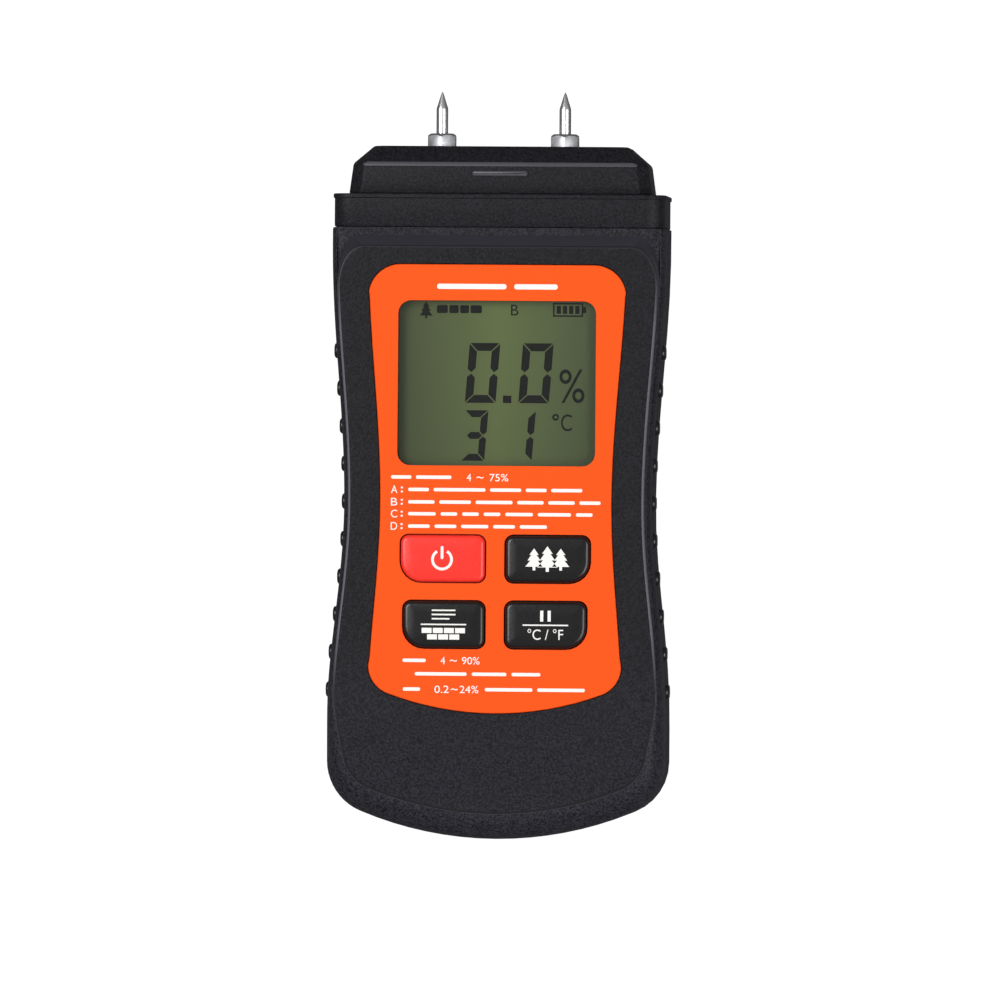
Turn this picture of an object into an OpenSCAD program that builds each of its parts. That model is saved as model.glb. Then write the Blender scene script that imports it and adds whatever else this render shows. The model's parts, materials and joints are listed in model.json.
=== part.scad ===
// Pin-type moisture meter, lying on its back.
// X runs across the case, Y from the foot of the case to the pins, and Z out of the front face.
// Lengths are in millimetres. A station is a distance along the case, measured up from its foot.

/* [Case] */
// Length of the two shells, from the foot to the seam under the sensor head
case_len = 123.6; // [120:0.2:150]
// Depth of the case, from the back face to the front face
case_t = 30; // [28:0.5:40]
// Width of the case at its waist
waist_w = 62.4; // [58:0.2:78]
// Station of the waist
waist_at = 68; // [62:1:76]
// How far each shoulder stands out beyond the waist
shoulder_flare = 2.7; // [1:0.1:5]
// Length over which the shoulders widen
shoulder_run = 52; // [40:1:56]
// How far each hip stands out beyond the waist
hip_flare = 3.1; // [1:0.1:5]
// Length over which the hips widen
hip_run = 44; // [34:1:50]
// Radius of the curved foot
foot_r = 72; // [50:1:120]
// Radius of the two lower corners
corner_r = 11; // [8:0.5:16]
// Wall of both shells
wall = 2.2; // [1.6:0.1:2.6]
// Depth of the front shell, from the front face down to the parting line
front_depth = 8; // [7:0.5:12]
// Drop from the front face to the band under the sensor head
band_drop = 2.5; // [1:0.1:3]
// Length of the slope between the front face and the band
band_slope = 2.5; // [1:0.1:4]
// Length of the flat band next to the seam
band_len = 1.6; // [1:0.1:3]

/* [Grip bumps] */
// Number of bumps on each side
bump_count = 10; // [4:1:12]
// Station of the lowest bump
bump_from = 30; // [26:0.5:36]
// Distance from one bump to the next
bump_pitch = 7.63; // [5:0.01:9]
// Radius of a bump
bump_r = 1.56; // [1:0.01:2]
// How far a bump stands proud of the side
bump_proud = 0.7; // [0.3:0.05:1]
// Height of a bump, across the thickness of the case
bump_len = 4.5; // [2:0.1:6]

/* [Sensor head] */
// Length of the collar above the seam
collar_len = 5.9; // [4:0.1:9]
// How far the collar sits in from the side of the case
collar_inset = 0.4; // [0.2:0.05:1]
// Thickness of the raised lip at the top of the collar
lip_len = 0.9; // [0.6:0.1:1.5]
// Length of the block that the protective cap slides over
head_len = 9.8; // [7:0.1:14]
// Width of that block where it leaves the lip
head_w = 61.5; // [50:0.5:64]
// How far the block sits in from the collar, front and back
head_inset = 2.8; // [2:0.1:4]
// Bevel at the front and the two corners of the block
head_bevel = 3.65; // [2:0.05:5]
// Chamfer along the long edges of the block
head_edge = 2.5; // [1.5:0.1:3]
// Wall of the sensor head
head_wall = 2.4; // [1.8:0.1:3]
// Length of the tongue that the two shells hold
tongue_len = 4; // [3:0.5:5]
// Width of the snap ridge for the cap
ridge_w = 11.2; // [6:0.2:20]

/* [Pins] */
// Distance between the two pins
pin_pitch = 25; // [20:0.5:32]
// Diameter of a pin
pin_d = 2.4; // [1.8:0.1:3]
// Diameter of the threaded shank of a pin, inside its nut and socket
shank_d = 3; // [2.6:0.1:3.4]
// How far a pin stands out of the sensor head
pin_out = 11.2; // [8:0.1:16]
// Length of the pointed end of a pin
pin_point = 3.4; // [2:0.1:5]
// Width of a pin nut across its flats
nut_af = 5.5; // [4.5:0.1:6.5]
// Height of a pin nut
nut_h = 2.7; // [2:0.1:3.2]
// Diameter of the brass socket behind a pin
socket_d = 5.8; // [5:0.1:7]
// Length of the brass socket
socket_len = 14; // [10:0.5:15]

/* [Front label] */
// Gap from the seam to the top of the label
label_top_gap = 7.5; // [6:0.1:12]
// Station of the lowest point of the label
label_foot = 25.5; // [22:0.5:30]
// Distance from the side of the case to the label, above the waist
label_margin = 7.8; // [6:0.1:10]
// Extra distance at the hips
label_taper = 0.75; // [0:0.05:1.5]
// Corner radius at the top of the label
label_top_r = 6.5; // [4:0.5:8]
// Corner radius at the foot of the label
label_foot_r = 6; // [4:0.5:8]
// Radius of the curved lower edge of the label
label_arc_r = 62; // [50:1:90]
// Thickness of the label
label_t = 0.6; // [0.4:0.1:0.8]

/* [Display] */
// Width of the display opening
window_w = 40; // [30:0.5:42]
// Height of the display opening
window_h = 33.3; // [24:0.1:35]
// Corner radius of the display opening
window_r = 2.6; // [1:0.1:4]
// Gap from the top of the label to the display opening
window_gap = 7.3; // [5:0.1:10]
// How deep the window lies below the front face
window_sink = 2; // [1.2:0.1:2.2]
// Thickness of the window
window_t = 1; // [0.8:0.1:1.2]
// Thickness of the liquid crystal glass
glass_t = 2; // [1.6:0.1:2.2]
// Thickness of the backlight panel
backlight_t = 2; // [1.4:0.1:2.2]
// How far the window and the glass reach past the opening on each side
glass_lap = 1.6; // [1.2:0.1:1.8]
// Wall of the frame round the glass
frame_wall = 1.5; // [1:0.1:1.8]

/* [Keys] */
// Width of an upper key
upper_key_w = 17; // [14:0.1:18]
// Width of a lower key
lower_key_w = 16.4; // [14:0.1:18]
// Height of a key
key_h = 9.4; // [8:0.1:10]
// Gap between the left and the right keys
key_gap = 4.2; // [3.5:0.1:6]
// Distance between the two rows of keys
key_row_pitch = 13.3; // [12.8:0.1:14]
// Distance from the display opening down to the middle of the upper keys
key_drop = 18.8; // [17:0.1:21]
// Corner radius of a key
key_r = 1.6; // [1:0.1:2.5]
// Radius of the outer lower corner of a key
key_big_r = 4.2; // [3:0.1:4.5]
// How far a key stands proud of the front face
key_proud = 1; // [0.8:0.1:1.5]
// Travel of a key
key_travel = 0.9; // [0.5:0.1:1.2]
// Gap between a key and its hole
key_clear = 0.25; // [0.15:0.05:0.35]
// Width of the flange that keeps a key in
key_flange = 0.8; // [0.5:0.1:1]

/* [Circuit board] */
// Distance from the front face down to the board
board_drop = 9.9; // [9.5:0.1:10.5]
// Thickness of the board
board_t = 1.6; // [1:0.1:1.6]
// Width of the board
board_w = 52; // [50:0.5:54]
// Station of the board's lower edge
board_from = 20; // [19:0.5:22]
// Width of the board's upper end
board_tab_w = 45; // [42:0.5:46]
// Thickness of the rubber keypad mat
mat_t = 1; // [0.8:0.1:1.2]

/* [Battery bay] */
// Diameter of a battery cell
cell_d = 10.5; // [8:0.1:10.8]
// Length of a battery cell with its button
cell_len = 44.5; // [42:0.1:45]
// Number of cells side by side
cell_count = 3; // [2:1:3]
// Gap between cells, and between a cell and the bay
cell_gap = 0.5; // [0.3:0.1:0.8]
// Clear length of the bay
bay_len = 50; // [49:0.5:52]
// Station of the lower end of the bay
bay_from = 9.6; // [9:0.1:11]
// Wall of the bay
bay_wall = 1.5; // [1.2:0.1:2]
// Thickness of the battery door
door_t = 1.8; // [1.6:0.1:2]
// Width of the tongue along each side of the door
door_tongue = 1; // [0.8:0.1:1.2]
// Clearance round the door
door_clear = 0.15; // [0.1:0.01:0.2]
// Thickness of a contact plate
plate_t = 0.4; // [0.3:0.05:0.6]
// Diameter of the spring wire
spring_wire = 0.6; // [0.4:0.05:0.8]

/* [Screws] */
// Diameter of a case screw
screw_d = 2.5; // [2:0.1:3]
// Diameter of a case screw's head
screw_head_d = 4.6; // [4:0.1:5]
// Depth of the pocket for a case screw's head
screw_pocket = 6; // [4:0.5:8]
// Radius of a case screw post
post_r = 3; // [2.6:0.1:3.2]
// Diameter of a board screw
board_screw_d = 2; // [1.6:0.1:2.2]
// Clearance round a screw, a pin or a socket
fit_clear = 0.05; // [0.03:0.01:0.1]

/* [Hidden] */

$fn = 48;
EPS = 0.01;
OVER = 1; // how far a cut runs past the face that it opens

// Stations along the meter
lip_at = case_len + collar_len;
head_at = lip_at + lip_len;
head_top = head_at + head_len;
total_len = head_top + pin_out;
label_top = case_len - label_top_gap;
window_at = label_top - window_gap - window_h / 2;
upper_keys_at = window_at - window_h / 2 - key_drop;
lower_keys_at = upper_keys_at - key_row_pitch;
band_at = case_len - band_len - band_slope;
bay_to = bay_from + bay_len;
door_to = bay_to + bay_wall;
board_tab_at = band_at - 7.5;
board_to = board_tab_at + 6;
case_posts = [[-25.5, case_len - 7.8], [25.5, case_len - 7.8], [-24, 14], [24, 14]];
board_posts = [[-18, board_to - 2.8], [18, board_to - 2.8], [-20, board_from + 7], [20, board_from + 7]];

// Heights above the back face
parting_z = case_t - front_depth;
label_z = case_t - label_t;
under_z = label_z - wall;
band_z = case_t - band_drop;
window_z = case_t - window_sink - window_t;
glass_z = window_z - 0.1 - glass_t;
backlight_z = glass_z - backlight_t;
board_z = case_t - board_drop;
mat_z = board_z + mat_t;
flange_t = 1;
flange_z = under_z - 0.1 - flange_t;
dome_h = 3.8;
dome_z = mat_z + dome_h;
dome_wall = 0.6;
collar_z = 0.4;
head_z = collar_z + head_inset;
head_front_z = band_z - head_inset;
pin_z = (head_z + head_front_z) / 2;
cell_z = door_t + 0.6 + cell_d / 2;
bay_roof_z = cell_z + cell_d / 2 + cell_gap;
post_joint_z = 13;

// Widths and places across the case
cell_pitch = cell_d + cell_gap;
bay_half = (cell_count * cell_pitch + cell_gap) / 2;
door_half = bay_half + 0.75;
rail_half = door_half + door_tongue + door_clear + 1.2;
spring_len = bay_len - cell_len - 2 * plate_t;
hip_half = waist_w / 2 + hip_flare;
corner_x = hip_half - corner_r;
corner_at = foot_r - sqrt(pow(foot_r - corner_r, 2) - pow(corner_x, 2));
foot_angle = atan2(corner_x, foot_r - corner_at);

// One key: width, station, side (-1 left, 1 right)
POWER = [upper_key_w, upper_keys_at, -1];
WOOD = [upper_key_w, upper_keys_at, 1];
WALL = [lower_key_w, lower_keys_at, -1];
HOLD = [lower_key_w, lower_keys_at, 1];
KEYS = [POWER, WOOD, WALL, HOLD];

function Y(s) = s - total_len / 2;
function key_x(k) = k[2] * (key_gap + k[0]) / 2;
function ease(t) = (1 - cos(180 * max(0, min(1, t)))) / 2;

// Half the width of the case at a station
function half_w(s) = waist_w / 2 + (s > waist_at
    ? shoulder_flare * ease((s - waist_at) / shoulder_run)
    : hip_flare * ease((waist_at - s) / hip_run));

// Right-hand edge of the case from a top station round to the foot: [x, station, inward normal x, y]
SIDE_STEPS = 16;
CORNER_STEPS = 6;
FOOT_STEPS = 4;
function right_edge(top) = concat(
    [for (k = [0:SIDE_STEPS]) let (s = top + (corner_at - top) * k / SIDE_STEPS) [half_w(s), s, -1, 0]],
    [for (k = [1:CORNER_STEPS]) let (a = -(90 - foot_angle) * k / CORNER_STEPS)
        [corner_x + corner_r * cos(a), corner_at + corner_r * sin(a), -cos(a), -sin(a)]],
    [for (k = [1:FOOT_STEPS]) let (a = foot_angle * (1 - k / FOOT_STEPS))
        [foot_r * sin(a), foot_r * (1 - cos(a)), -sin(a), cos(a)]]);
function full_edge(top) = let (r = right_edge(top), n = len(r)) concat(r,
    [for (k = [n - 2:-1:0]) [-r[k][0], r[k][1], -r[k][2], r[k][3]]]);

// The edge moved inwards: by side_in along the sides, growing to foot_in round the foot
foot_blend_at = 34;
foot_blend_run = 30;
function rim(top, side_in, foot_in) = [for (p = full_edge(top))
    let (d = side_in + (foot_in - side_in) * ease((foot_blend_at - p[1]) / foot_blend_run))
    [p[0] + p[2] * d, Y(p[1] + p[3] * d)]];

// One more level past the end of a loft, so that a flat cut makes the end face
CAP = 0.3;
function beyond(end, next) = [for (i = [0:2]) end[i] + (end[i] - next[i]) * CAP / abs(end[0] - next[0])];

// A solid through one rim at each level: [height, side_in, foot_in]
module loft(levels, top) {
    end = len(levels) - 1;
    all_levels = concat([beyond(levels[0], levels[1])], levels, [beyond(levels[end], levels[end - 1])]);
    rings = [for (l = all_levels) rim(top, l[1], l[2])];
    n = len(rings[0]);
    last = len(all_levels) - 1;
    intersection() {
        polyhedron(
            points = [for (k = [0:last], p = rings[k]) [p[0], p[1], all_levels[k][0]]],
            faces = concat(
                [[for (i = [n - 1:-1:0]) i], [for (i = [0:n - 1]) last * n + i]],
                [for (k = [0:last - 1], i = [0:n - 1], side = [0, 1])
                    let (j = (i + 1) % n, a = k * n + i, b = k * n + j)
                    side == 0 ? [b, b + n, a + n] : [b, a + n, a]]));
        block(4 * waist_w, -total_len, 2 * total_len, levels[0][0], levels[end][0]);
    }
}

module layer(z0, z1) translate([0, 0, z0]) linear_extrude(z1 - z0) children();

// A block from the foot-side station s0 to s1, and from z0 to z1, centred across the case
module block(w, s0, s1, z0, z1) translate([-w / 2, Y(s0), z0]) cube([w, s1 - s0, z1 - z0]);

// A disc or post along Z
module post(at, r, z0, z1) translate([at[0], Y(at[1]), z0]) cylinder(r = r, h = z1 - z0);

// A cylinder along Y
module rod(x, z, r, s0, s1, r2 = 0) translate([x, Y(s0), z]) rotate([-90, 0, 0])
    cylinder(r1 = r, r2 = r2 == 0 ? r : r2, h = s1 - s0);

// A profile drawn as [station, height], extruded across the case
module across(w, points) translate([w / 2, 0, 0]) rotate([90, 0, -90])
    linear_extrude(w) polygon([for (p = points) [-Y(p[0]), p[1]]]);

// A profile drawn as [x, -height], extruded between two stations
module along(s0, s1) translate([0, Y(s0), 0]) rotate([-90, 0, 0]) linear_extrude(s1 - s0) children();

module rounded(w, h, r) {
    square([w - 2 * r, h], center = true);
    square([w, h - 2 * r], center = true);
    for (x = [-1, 1], y = [-1, 1]) translate([x * (w / 2 - r), y * (h / 2 - r)]) circle(r);
}

// A rounded rectangle seen along Y, extruded between two stations
module sleeve(w, z0, z1, r, s0, s1) translate([0, 0, (z0 + z1) / 2]) along(s0, s1) rounded(w, z1 - z0, r);

// Corners of a plate in order: [centre x, centre y, radius, first angle]
function arc(c, steps = 6) = [for (k = [0:steps]) let (a = c[3] + 90 * k / steps)
    [c[0] + c[2] * cos(a), c[1] + c[2] * sin(a)]];

// ---------------------------------------------------------------- case

module back_outer() loft([[0, 3.4, 6], [1, 1.7, 3.4], [3.2, 0.5, 1], [7, 0, 0], [parting_z, 0, 0]], case_len);

module back_inner() loft([[wall, 4, 6.8], [5.4, wall + 0.5, wall + 1], [9.2, wall, wall],
    [parting_z + OVER, wall, wall]], case_len + OVER);

// Everything above the slope and the flat band beside the seam, for a face at height z and a slope from station s
module above_band(s, z, flat_z) across(3 * waist_w, [
    [s - OVER * band_slope / band_drop, z + OVER], [s + band_slope * (z - flat_z) / band_drop, flat_z],
    [case_len + 2 * OVER, flat_z], [case_len + 2 * OVER, z + OVER]]);

module front_outer() difference() {
    loft([[parting_z, 0, 0], [case_t - 5.5, 0, 1.2], [case_t - 0.7, 1.25, 4.2], [case_t, 1.9, 5.6]], case_len);
    above_band(band_at, case_t, band_z);
}

module front_inner() difference() {
    loft([[parting_z - OVER, wall, wall], [case_t - 5.5, wall + 0.3, wall + 1.6], [under_z, wall + 1.2, wall + 4.6]],
        case_len + OVER);
    above_band(band_at - 1.7, under_z, band_z - wall);
}

function label_half(s) = half_w(s) - label_margin - label_taper * ease((waist_at - s) / hip_run);

// Outline of the label, grown outwards by a clearance
module label_outline(grow = 0) {
    top_x = label_half(label_top) - label_top_r;
    foot_x = label_half(label_foot + label_foot_r) - label_foot_r;
    centre = label_foot + label_arc_r;
    foot_s = centre - sqrt(pow(label_arc_r - label_foot_r, 2) - pow(foot_x, 2));
    turn = atan2(foot_x, centre - foot_s);
    right = concat(
        [for (k = [0:6]) let (a = 90 - 15 * k, r = label_top_r + grow)
            [top_x + r * cos(a), label_top - label_top_r + r * sin(a)]],
        [for (k = [1:11]) let (s = label_top - label_top_r + (foot_s - label_top + label_top_r) * k / 12)
            [label_half(s) + grow, s]],
        [for (k = [0:6]) let (a = -(90 - turn) * k / 6, r = label_foot_r + grow)
            [foot_x + r * cos(a), foot_s + r * sin(a)]],
        [for (k = [1:4]) let (a = turn * (1 - k / 4), r = label_arc_r + grow)
            [r * sin(a), centre - r * cos(a)]]);
    n = len(right);
    polygon([for (k = [0:2 * n - 2]) k < n
        ? [right[k][0], Y(right[k][1])]
        : [-right[2 * n - 2 - k][0], Y(right[2 * n - 2 - k][1])]]);
}

module window_outline(grow = 0) translate([0, Y(window_at)])
    rounded(window_w + 2 * grow, window_h + 2 * grow, window_r);

// Outline of a key, grown outwards by a clearance; its outer lower corner is the round one
module key_outline(k, grow = 0) {
    w = k[0] / 2 + grow;
    h = key_h / 2 + grow;
    r = key_r + max(grow, 0);
    big = key_big_r + max(grow, 0);
    corners = concat(arc([w - r, h - r, r, 0]), arc([r - w, h - r, r, 90]),
        arc([r - w, r - h, r, 180]), arc([w - big, big - h, big, 270]));
    translate([key_x(k), Y(k[1])]) polygon([for (p = corners) [k[2] * p[0], p[1]]]);
}

module front_shell() color("#26262a") difference() {
    union() {
        difference() {
            front_outer();
            front_inner();
        }
        for (at = case_posts) post(at, post_r, post_joint_z, under_z + wall / 2);
        for (at = board_posts) post(at, 2.2, board_z, under_z + wall / 2);
    }
    layer(label_z, case_t + OVER) label_outline(0.1);
    layer(under_z - OVER, case_t) window_outline();
    layer(under_z - OVER, window_z + window_t) window_outline(glass_lap + 0.15);
    for (k = KEYS) layer(under_z - OVER, case_t) key_outline(k, key_clear);
    for (at = case_posts) post(at, screw_d / 2 + fit_clear, post_joint_z - OVER, post_joint_z + 8);
    for (at = board_posts) post(at, board_screw_d / 2 + fit_clear, board_z - OVER, board_z + 4);
}

module bump(side, s) translate([side * (half_w(s) + bump_proud - bump_r), Y(s), parting_z - 1 - bump_len])
    cylinder(r = bump_r, h = bump_len);

module door_space(grow) {
    block(2 * (door_half + grow), -OVER, door_to + grow, -OVER, door_t + grow);
    block(2 * (door_half + door_tongue + grow), -OVER, door_to + grow, door_t - 0.8 - grow, door_t + grow);
}

// What the back shell leaves empty: its cavity, less the door rails, the screw posts and the bay
module back_hollow() difference() {
    back_inner();
    block(2 * rail_half, -OVER, door_to + 1.5, 0, door_t + 1.6);
    for (at = case_posts) post(at, post_r + 0.2, 0, post_joint_z);
    block(2 * (bay_half + bay_wall), bay_from - bay_wall, bay_to + bay_wall, 0, bay_roof_z + bay_wall);
}

module back_shell() color("#26262a") difference() {
    union() {
        back_outer();
        for (side = [-1, 1], k = [0:bump_count - 1]) bump(side, bump_from + k * bump_pitch);
    }
    back_hollow();
    door_space(door_clear);
    block(2 * bay_half, bay_from, bay_to, 0, bay_roof_z);
    for (at = case_posts) {
        post(at, screw_d / 2 + 0.15, 0, post_joint_z + OVER);
        post(at, screw_head_d / 2 + 0.2, -OVER, screw_pocket);
    }
}

// ---------------------------------------------------------------- sensor head

collar_half = half_w(case_len) - collar_inset;
tongue_half = half_w(case_len) - wall - 0.8;

module head_block() intersection() {
    layer(head_z, head_front_z) polygon([for (p = [
        [-head_w / 2, head_at - EPS], [head_w / 2, head_at - EPS],
        [head_w / 2 - 0.85, head_top - head_bevel], [head_w / 2 - head_bevel - 1.3, head_top],
        [head_bevel + 1.3 - head_w / 2, head_top], [0.85 - head_w / 2, head_top - head_bevel]])
        [p[0], Y(p[1])]]);
    across(2 * head_w, [[head_at - OVER, head_z], [head_at - OVER, head_front_z],
        [head_top - head_bevel, head_front_z], [head_top, head_front_z - 3.2],
        [head_top, head_z + 3.2], [head_top - head_bevel, head_z]]);
    along(head_at - OVER, head_top + OVER) polygon([
        [-head_w / 2, -head_z - head_edge], [-head_w / 2, head_edge - head_front_z],
        [head_edge - head_w / 2, -head_front_z], [head_w / 2 - head_edge, -head_front_z],
        [head_w / 2, head_edge - head_front_z], [head_w / 2, -head_z - head_edge],
        [head_w / 2 - head_edge, -head_z], [head_edge - head_w / 2, -head_z]]);
}

module sensor_head() color("#2a2a2e") difference() {
    union() {
        sleeve(2 * tongue_half, wall + 0.1, band_z - wall - 0.1, 5, case_len - tongue_len, case_len + EPS);
        sleeve(2 * collar_half, collar_z, band_z, 3.6, case_len, lip_at + EPS);
        sleeve(2 * collar_half + 0.5, collar_z - 0.25, band_z + 0.25, 3.8, lip_at, head_at);
        head_block();
        block(ridge_w, head_at + 3.7, head_at + 4.7, head_front_z - EPS, head_front_z + 0.6);
    }
    difference() {
        sleeve(2 * (collar_half - 8), head_z + head_wall, head_front_z - head_wall, 3, case_len - tongue_len - OVER,
            head_top - head_wall);
        for (side = [-1, 1]) rod(side * pin_pitch / 2, pin_z, socket_d / 2 + 1.4, head_top - socket_len + 1, head_top);
    }
    sleeve(2 * (tongue_half - 2), wall + 2, band_z - wall - 2, 4, case_len - tongue_len - OVER, case_len);
    for (side = [-1, 1])
        rod(side * pin_pitch / 2, pin_z, socket_d / 2 + fit_clear, head_top - socket_len, head_top + OVER);
}

module socket(side) color("#c9a54c") difference() {
    rod(side * pin_pitch / 2, pin_z, socket_d / 2, head_top - socket_len, head_top);
    rod(side * pin_pitch / 2, pin_z, shank_d / 2 + fit_clear, head_top - socket_len + 3, head_top + OVER);
}

module pin(side) color("#c8cacc") {
    rod(side * pin_pitch / 2, pin_z, shank_d / 2, head_top - socket_len + 3.2, head_top + nut_h);
    rod(side * pin_pitch / 2, pin_z, pin_d / 2, head_top + nut_h - EPS, total_len - pin_point);
    rod(side * pin_pitch / 2, pin_z, pin_d / 2, total_len - pin_point, total_len, 0.12);
}

// A hex nut with one corner to the front
module pin_nut(side) translate([side * pin_pitch / 2, Y(head_top), pin_z]) rotate([-90, 30, 0]) difference() {
    intersection() {
        cylinder(d = nut_af / cos(30), h = nut_h, $fn = 6);
        union() {
            cylinder(d = nut_af / cos(30) + 0.2, h = nut_h - 0.7);
            translate([0, 0, nut_h - 0.7]) cylinder(d1 = nut_af / cos(30) + 0.2, d2 = nut_af - 1.2, h = 0.7);
        }
    }
    translate([0, 0, -OVER]) cylinder(d = shank_d + 2 * fit_clear, h = nut_h + 2 * OVER);
}

module pin_nuts() color("#b9bbbe") for (side = [-1, 1]) pin_nut(side);

// A bent strap from the end of a socket to a pad under the circuit board
module lead_strap(side) translate([side * pin_pitch / 2, 0, 0]) color("#c9a54c") {
    strap_t = 0.4;
    end = head_top - socket_len;
    pad_z = board_z - board_t;
    across(3, [[end, pin_z - 1.5], [end, pad_z], [board_to - 4, pad_z], [board_to - 4, pad_z - strap_t],
        [end - strap_t, pad_z - strap_t], [end - strap_t, pin_z - 1.5]]);
}

// ---------------------------------------------------------------- front label and display

module label_overlay() color("#ff5a20") layer(label_z, case_t) difference() {
    label_outline();
    window_outline();
    for (k = KEYS) key_outline(k, key_clear);
}

module display_window() color("#dfe6e0", 0.4) layer(window_z, window_z + window_t) window_outline(glass_lap);

module display_glass() color("#58603f") layer(glass_z, glass_z + glass_t) window_outline(glass_lap - 0.3);

strip_w = 1.8;

module backlight_panel() color("#e8ecd8") layer(backlight_z, glass_z)
    translate([0, Y(window_at)]) square([window_w, window_h - 2 * strip_w], center = true);

module zebra_strip(side) color("#d98a9a")
    translate([0, Y(window_at + side * (window_h - 0.4) / 2), 0]) layer(board_z, glass_z)
        square([window_w, strip_w], center = true);

module display_frame() color("#e9e9e4") layer(board_z, glass_z + glass_t) difference() {
    window_outline(glass_lap + frame_wall);
    window_outline(glass_lap - 0.2);
}

// ---------------------------------------------------------------- keys

module key(k) {
    layer(flange_z, flange_z + flange_t) key_outline(k, key_flange);
    layer(flange_z, case_t + key_proud - 0.5) key_outline(k);
    layer(flange_z, case_t + key_proud) key_outline(k, -0.5);
    post([key_x(k), k[1]], 2.4, dome_z, flange_z + EPS);
}

module power_key() color("#ff4038") key(POWER);
module wood_key() color("#242426") key(WOOD);
module wall_key() color("#242426") key(WALL);
module hold_key() color("#242426") key(HOLD);

pill_r = 1.8;

module pill(k) color("#1c1c1c")
    post([key_x(k), k[1]], pill_r, board_z + key_travel + 0.1, dome_z - dome_wall);

// A rubber dome that folds as its key goes down
module dome(k) color("#b8b8b4") translate([key_x(k), Y(k[1]), mat_z]) rotate_extrude() polygon([
    [4.6, 0], [4.6, 0.6], [2.9, dome_h], [0, dome_h], [0, dome_h - dome_wall],
    [2.4, dome_h - dome_wall], [3.9, 0.6], [3.9, 0]]);

module keypad_mat() color("#b8b8b4") layer(board_z, mat_z) difference() {
    translate([0, Y((upper_keys_at + lower_keys_at) / 2)])
        rounded(key_gap + 2 * upper_key_w + 3, key_row_pitch + key_h + 3, 2);
    for (k = KEYS) translate([key_x(k), Y(k[1])]) circle(pill_r + 1);
}

// ---------------------------------------------------------------- circuit board

module main_board() color("#1f6b3a") layer(board_z - board_t, board_z) difference() {
    union() {
        translate([-board_w / 2, Y(board_from)]) square([board_w, board_tab_at - board_from]);
        translate([-board_tab_w / 2, Y(board_tab_at) - 1]) square([board_tab_w, board_to - board_tab_at + 1]);
    }
    for (at = board_posts) translate([at[0], Y(at[1])]) circle(board_screw_d / 2 + 0.2);
}

module buzzer() color("#202022") difference() {
    post([0, board_from + 8], 4.5, board_z, board_z + 4);
    post([0, board_from + 8], 0.8, board_z + 3, board_z + 4 + OVER);
}

module microcontroller() color("#18181a") {
    z = board_z - board_t;
    translate([-5, Y(window_at) - 5, z - 1.4]) cube([10, 10, 1.3]);
    for (turn = [0:90:270], k = [-3:3])
        translate([0, Y(window_at), 0]) rotate(turn) translate([4.9, k * 1.2 - 0.2, z - 0.9]) cube([1.6, 0.4, 0.9]);
}

module board_components() {
    z = board_z - board_t;
    color("#3a2f28") for (k = [0:4]) translate([-19 + 3.2 * k, Y(window_at) + 12, z - 0.7]) cube([1.2, 2, 0.7]);
    color("#3a2f28") for (k = [0:4]) translate([10 + 2.6 * k, Y(window_at) - 2, z - 0.7]) cube([1.2, 2, 0.7]);
    color("#30343c") for (x = [-17, -10]) post([x, window_at - 12], 2.5, z - 5.4, z);
    color("#c2c4c8") translate([8, Y(window_at) - 15, z - 3.4]) cube([10, 4, 3.4]);
}

module temperature_sensor() color("#222a22") {
    translate([-1.2, Y(board_to) - 4, board_z]) cube([0.5, 6, 0.5]);
    translate([0.7, Y(board_to) - 4, board_z]) cube([0.5, 6, 0.5]);
    rod(0, board_z + 0.9, 1.3, board_to + 2 - EPS, board_to + 4.4);
}

// ---------------------------------------------------------------- battery bay

module battery_door() color("#26262a") difference() {
    intersection() {
        back_outer();
        door_space(0);
    }
    for (k = [0:4]) block(16, door_to - 9 - 2.4 * k, door_to - 7.8 - 2.4 * k, -OVER, 0.5);
}

function cell_x(k) = (k - (cell_count - 1) / 2) * cell_pitch;

// The button end points to the head on even cells and to the foot on odd ones
module facing(k) {
    middle = Y(bay_from) + bay_len / 2;
    translate([cell_x(k), middle, cell_z]) rotate([0, 0, k % 2 == 0 ? 0 : 180])
        translate([0, -middle, 0]) children();
}

module battery_cell(k) if (k < cell_count) color(k % 2 == 0 ? "#3b4a5c" : "#44546a") facing(k) {
    button = 1;
    from = bay_from + plate_t + spring_len;
    rod(0, 0, cell_d / 2, from, from + cell_len - button);
    rod(0, 0, 1.9, from + cell_len - button - EPS, from + cell_len);
}

module spring_plates() color("#c4c6ca") for (k = [0:cell_count - 1]) facing(k)
    block(8.6, bay_from, bay_from + plate_t, -4.4, 4.4);

module button_plates() color("#c4c6ca") for (k = [0:cell_count - 1]) facing(k)
    block(8.6, bay_to - plate_t, bay_to, -4.4, 4.4);

// A conical contact spring: rings of points along a widening helix
SPRING_TURNS = 4;
TURN_STEPS = 10;
WIRE_SIDES = 6;
module contact_spring() {
    n = SPRING_TURNS * TURN_STEPS;
    start = bay_from + plate_t + spring_wire / 2;
    rise = spring_len - spring_wire;
    points = [for (i = [0:n], j = [0:WIRE_SIDES - 1])
        let (a = 360 * i / TURN_STEPS, b = 360 * j / WIRE_SIDES, r = 3.6 - 1.7 * i / n + spring_wire / 2 * cos(b))
        [r * cos(a), Y(start) + rise * i / n + spring_wire / 2 * sin(b), r * sin(a)]];
    polyhedron(points = points, faces = concat(
        [[for (j = [WIRE_SIDES - 1:-1:0]) j], [for (j = [0:WIRE_SIDES - 1]) n * WIRE_SIDES + j]],
        [for (i = [0:n - 1], j = [0:WIRE_SIDES - 1], half = [0, 1])
            let (a = i * WIRE_SIDES + j, b = i * WIRE_SIDES + (j + 1) % WIRE_SIDES)
            half == 0 ? [a, b, b + WIRE_SIDES] : [a, b + WIRE_SIDES, a + WIRE_SIDES]]));
}

module battery_springs() color("#d0d2d4") for (k = [0:cell_count - 1]) facing(k) contact_spring();

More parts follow.
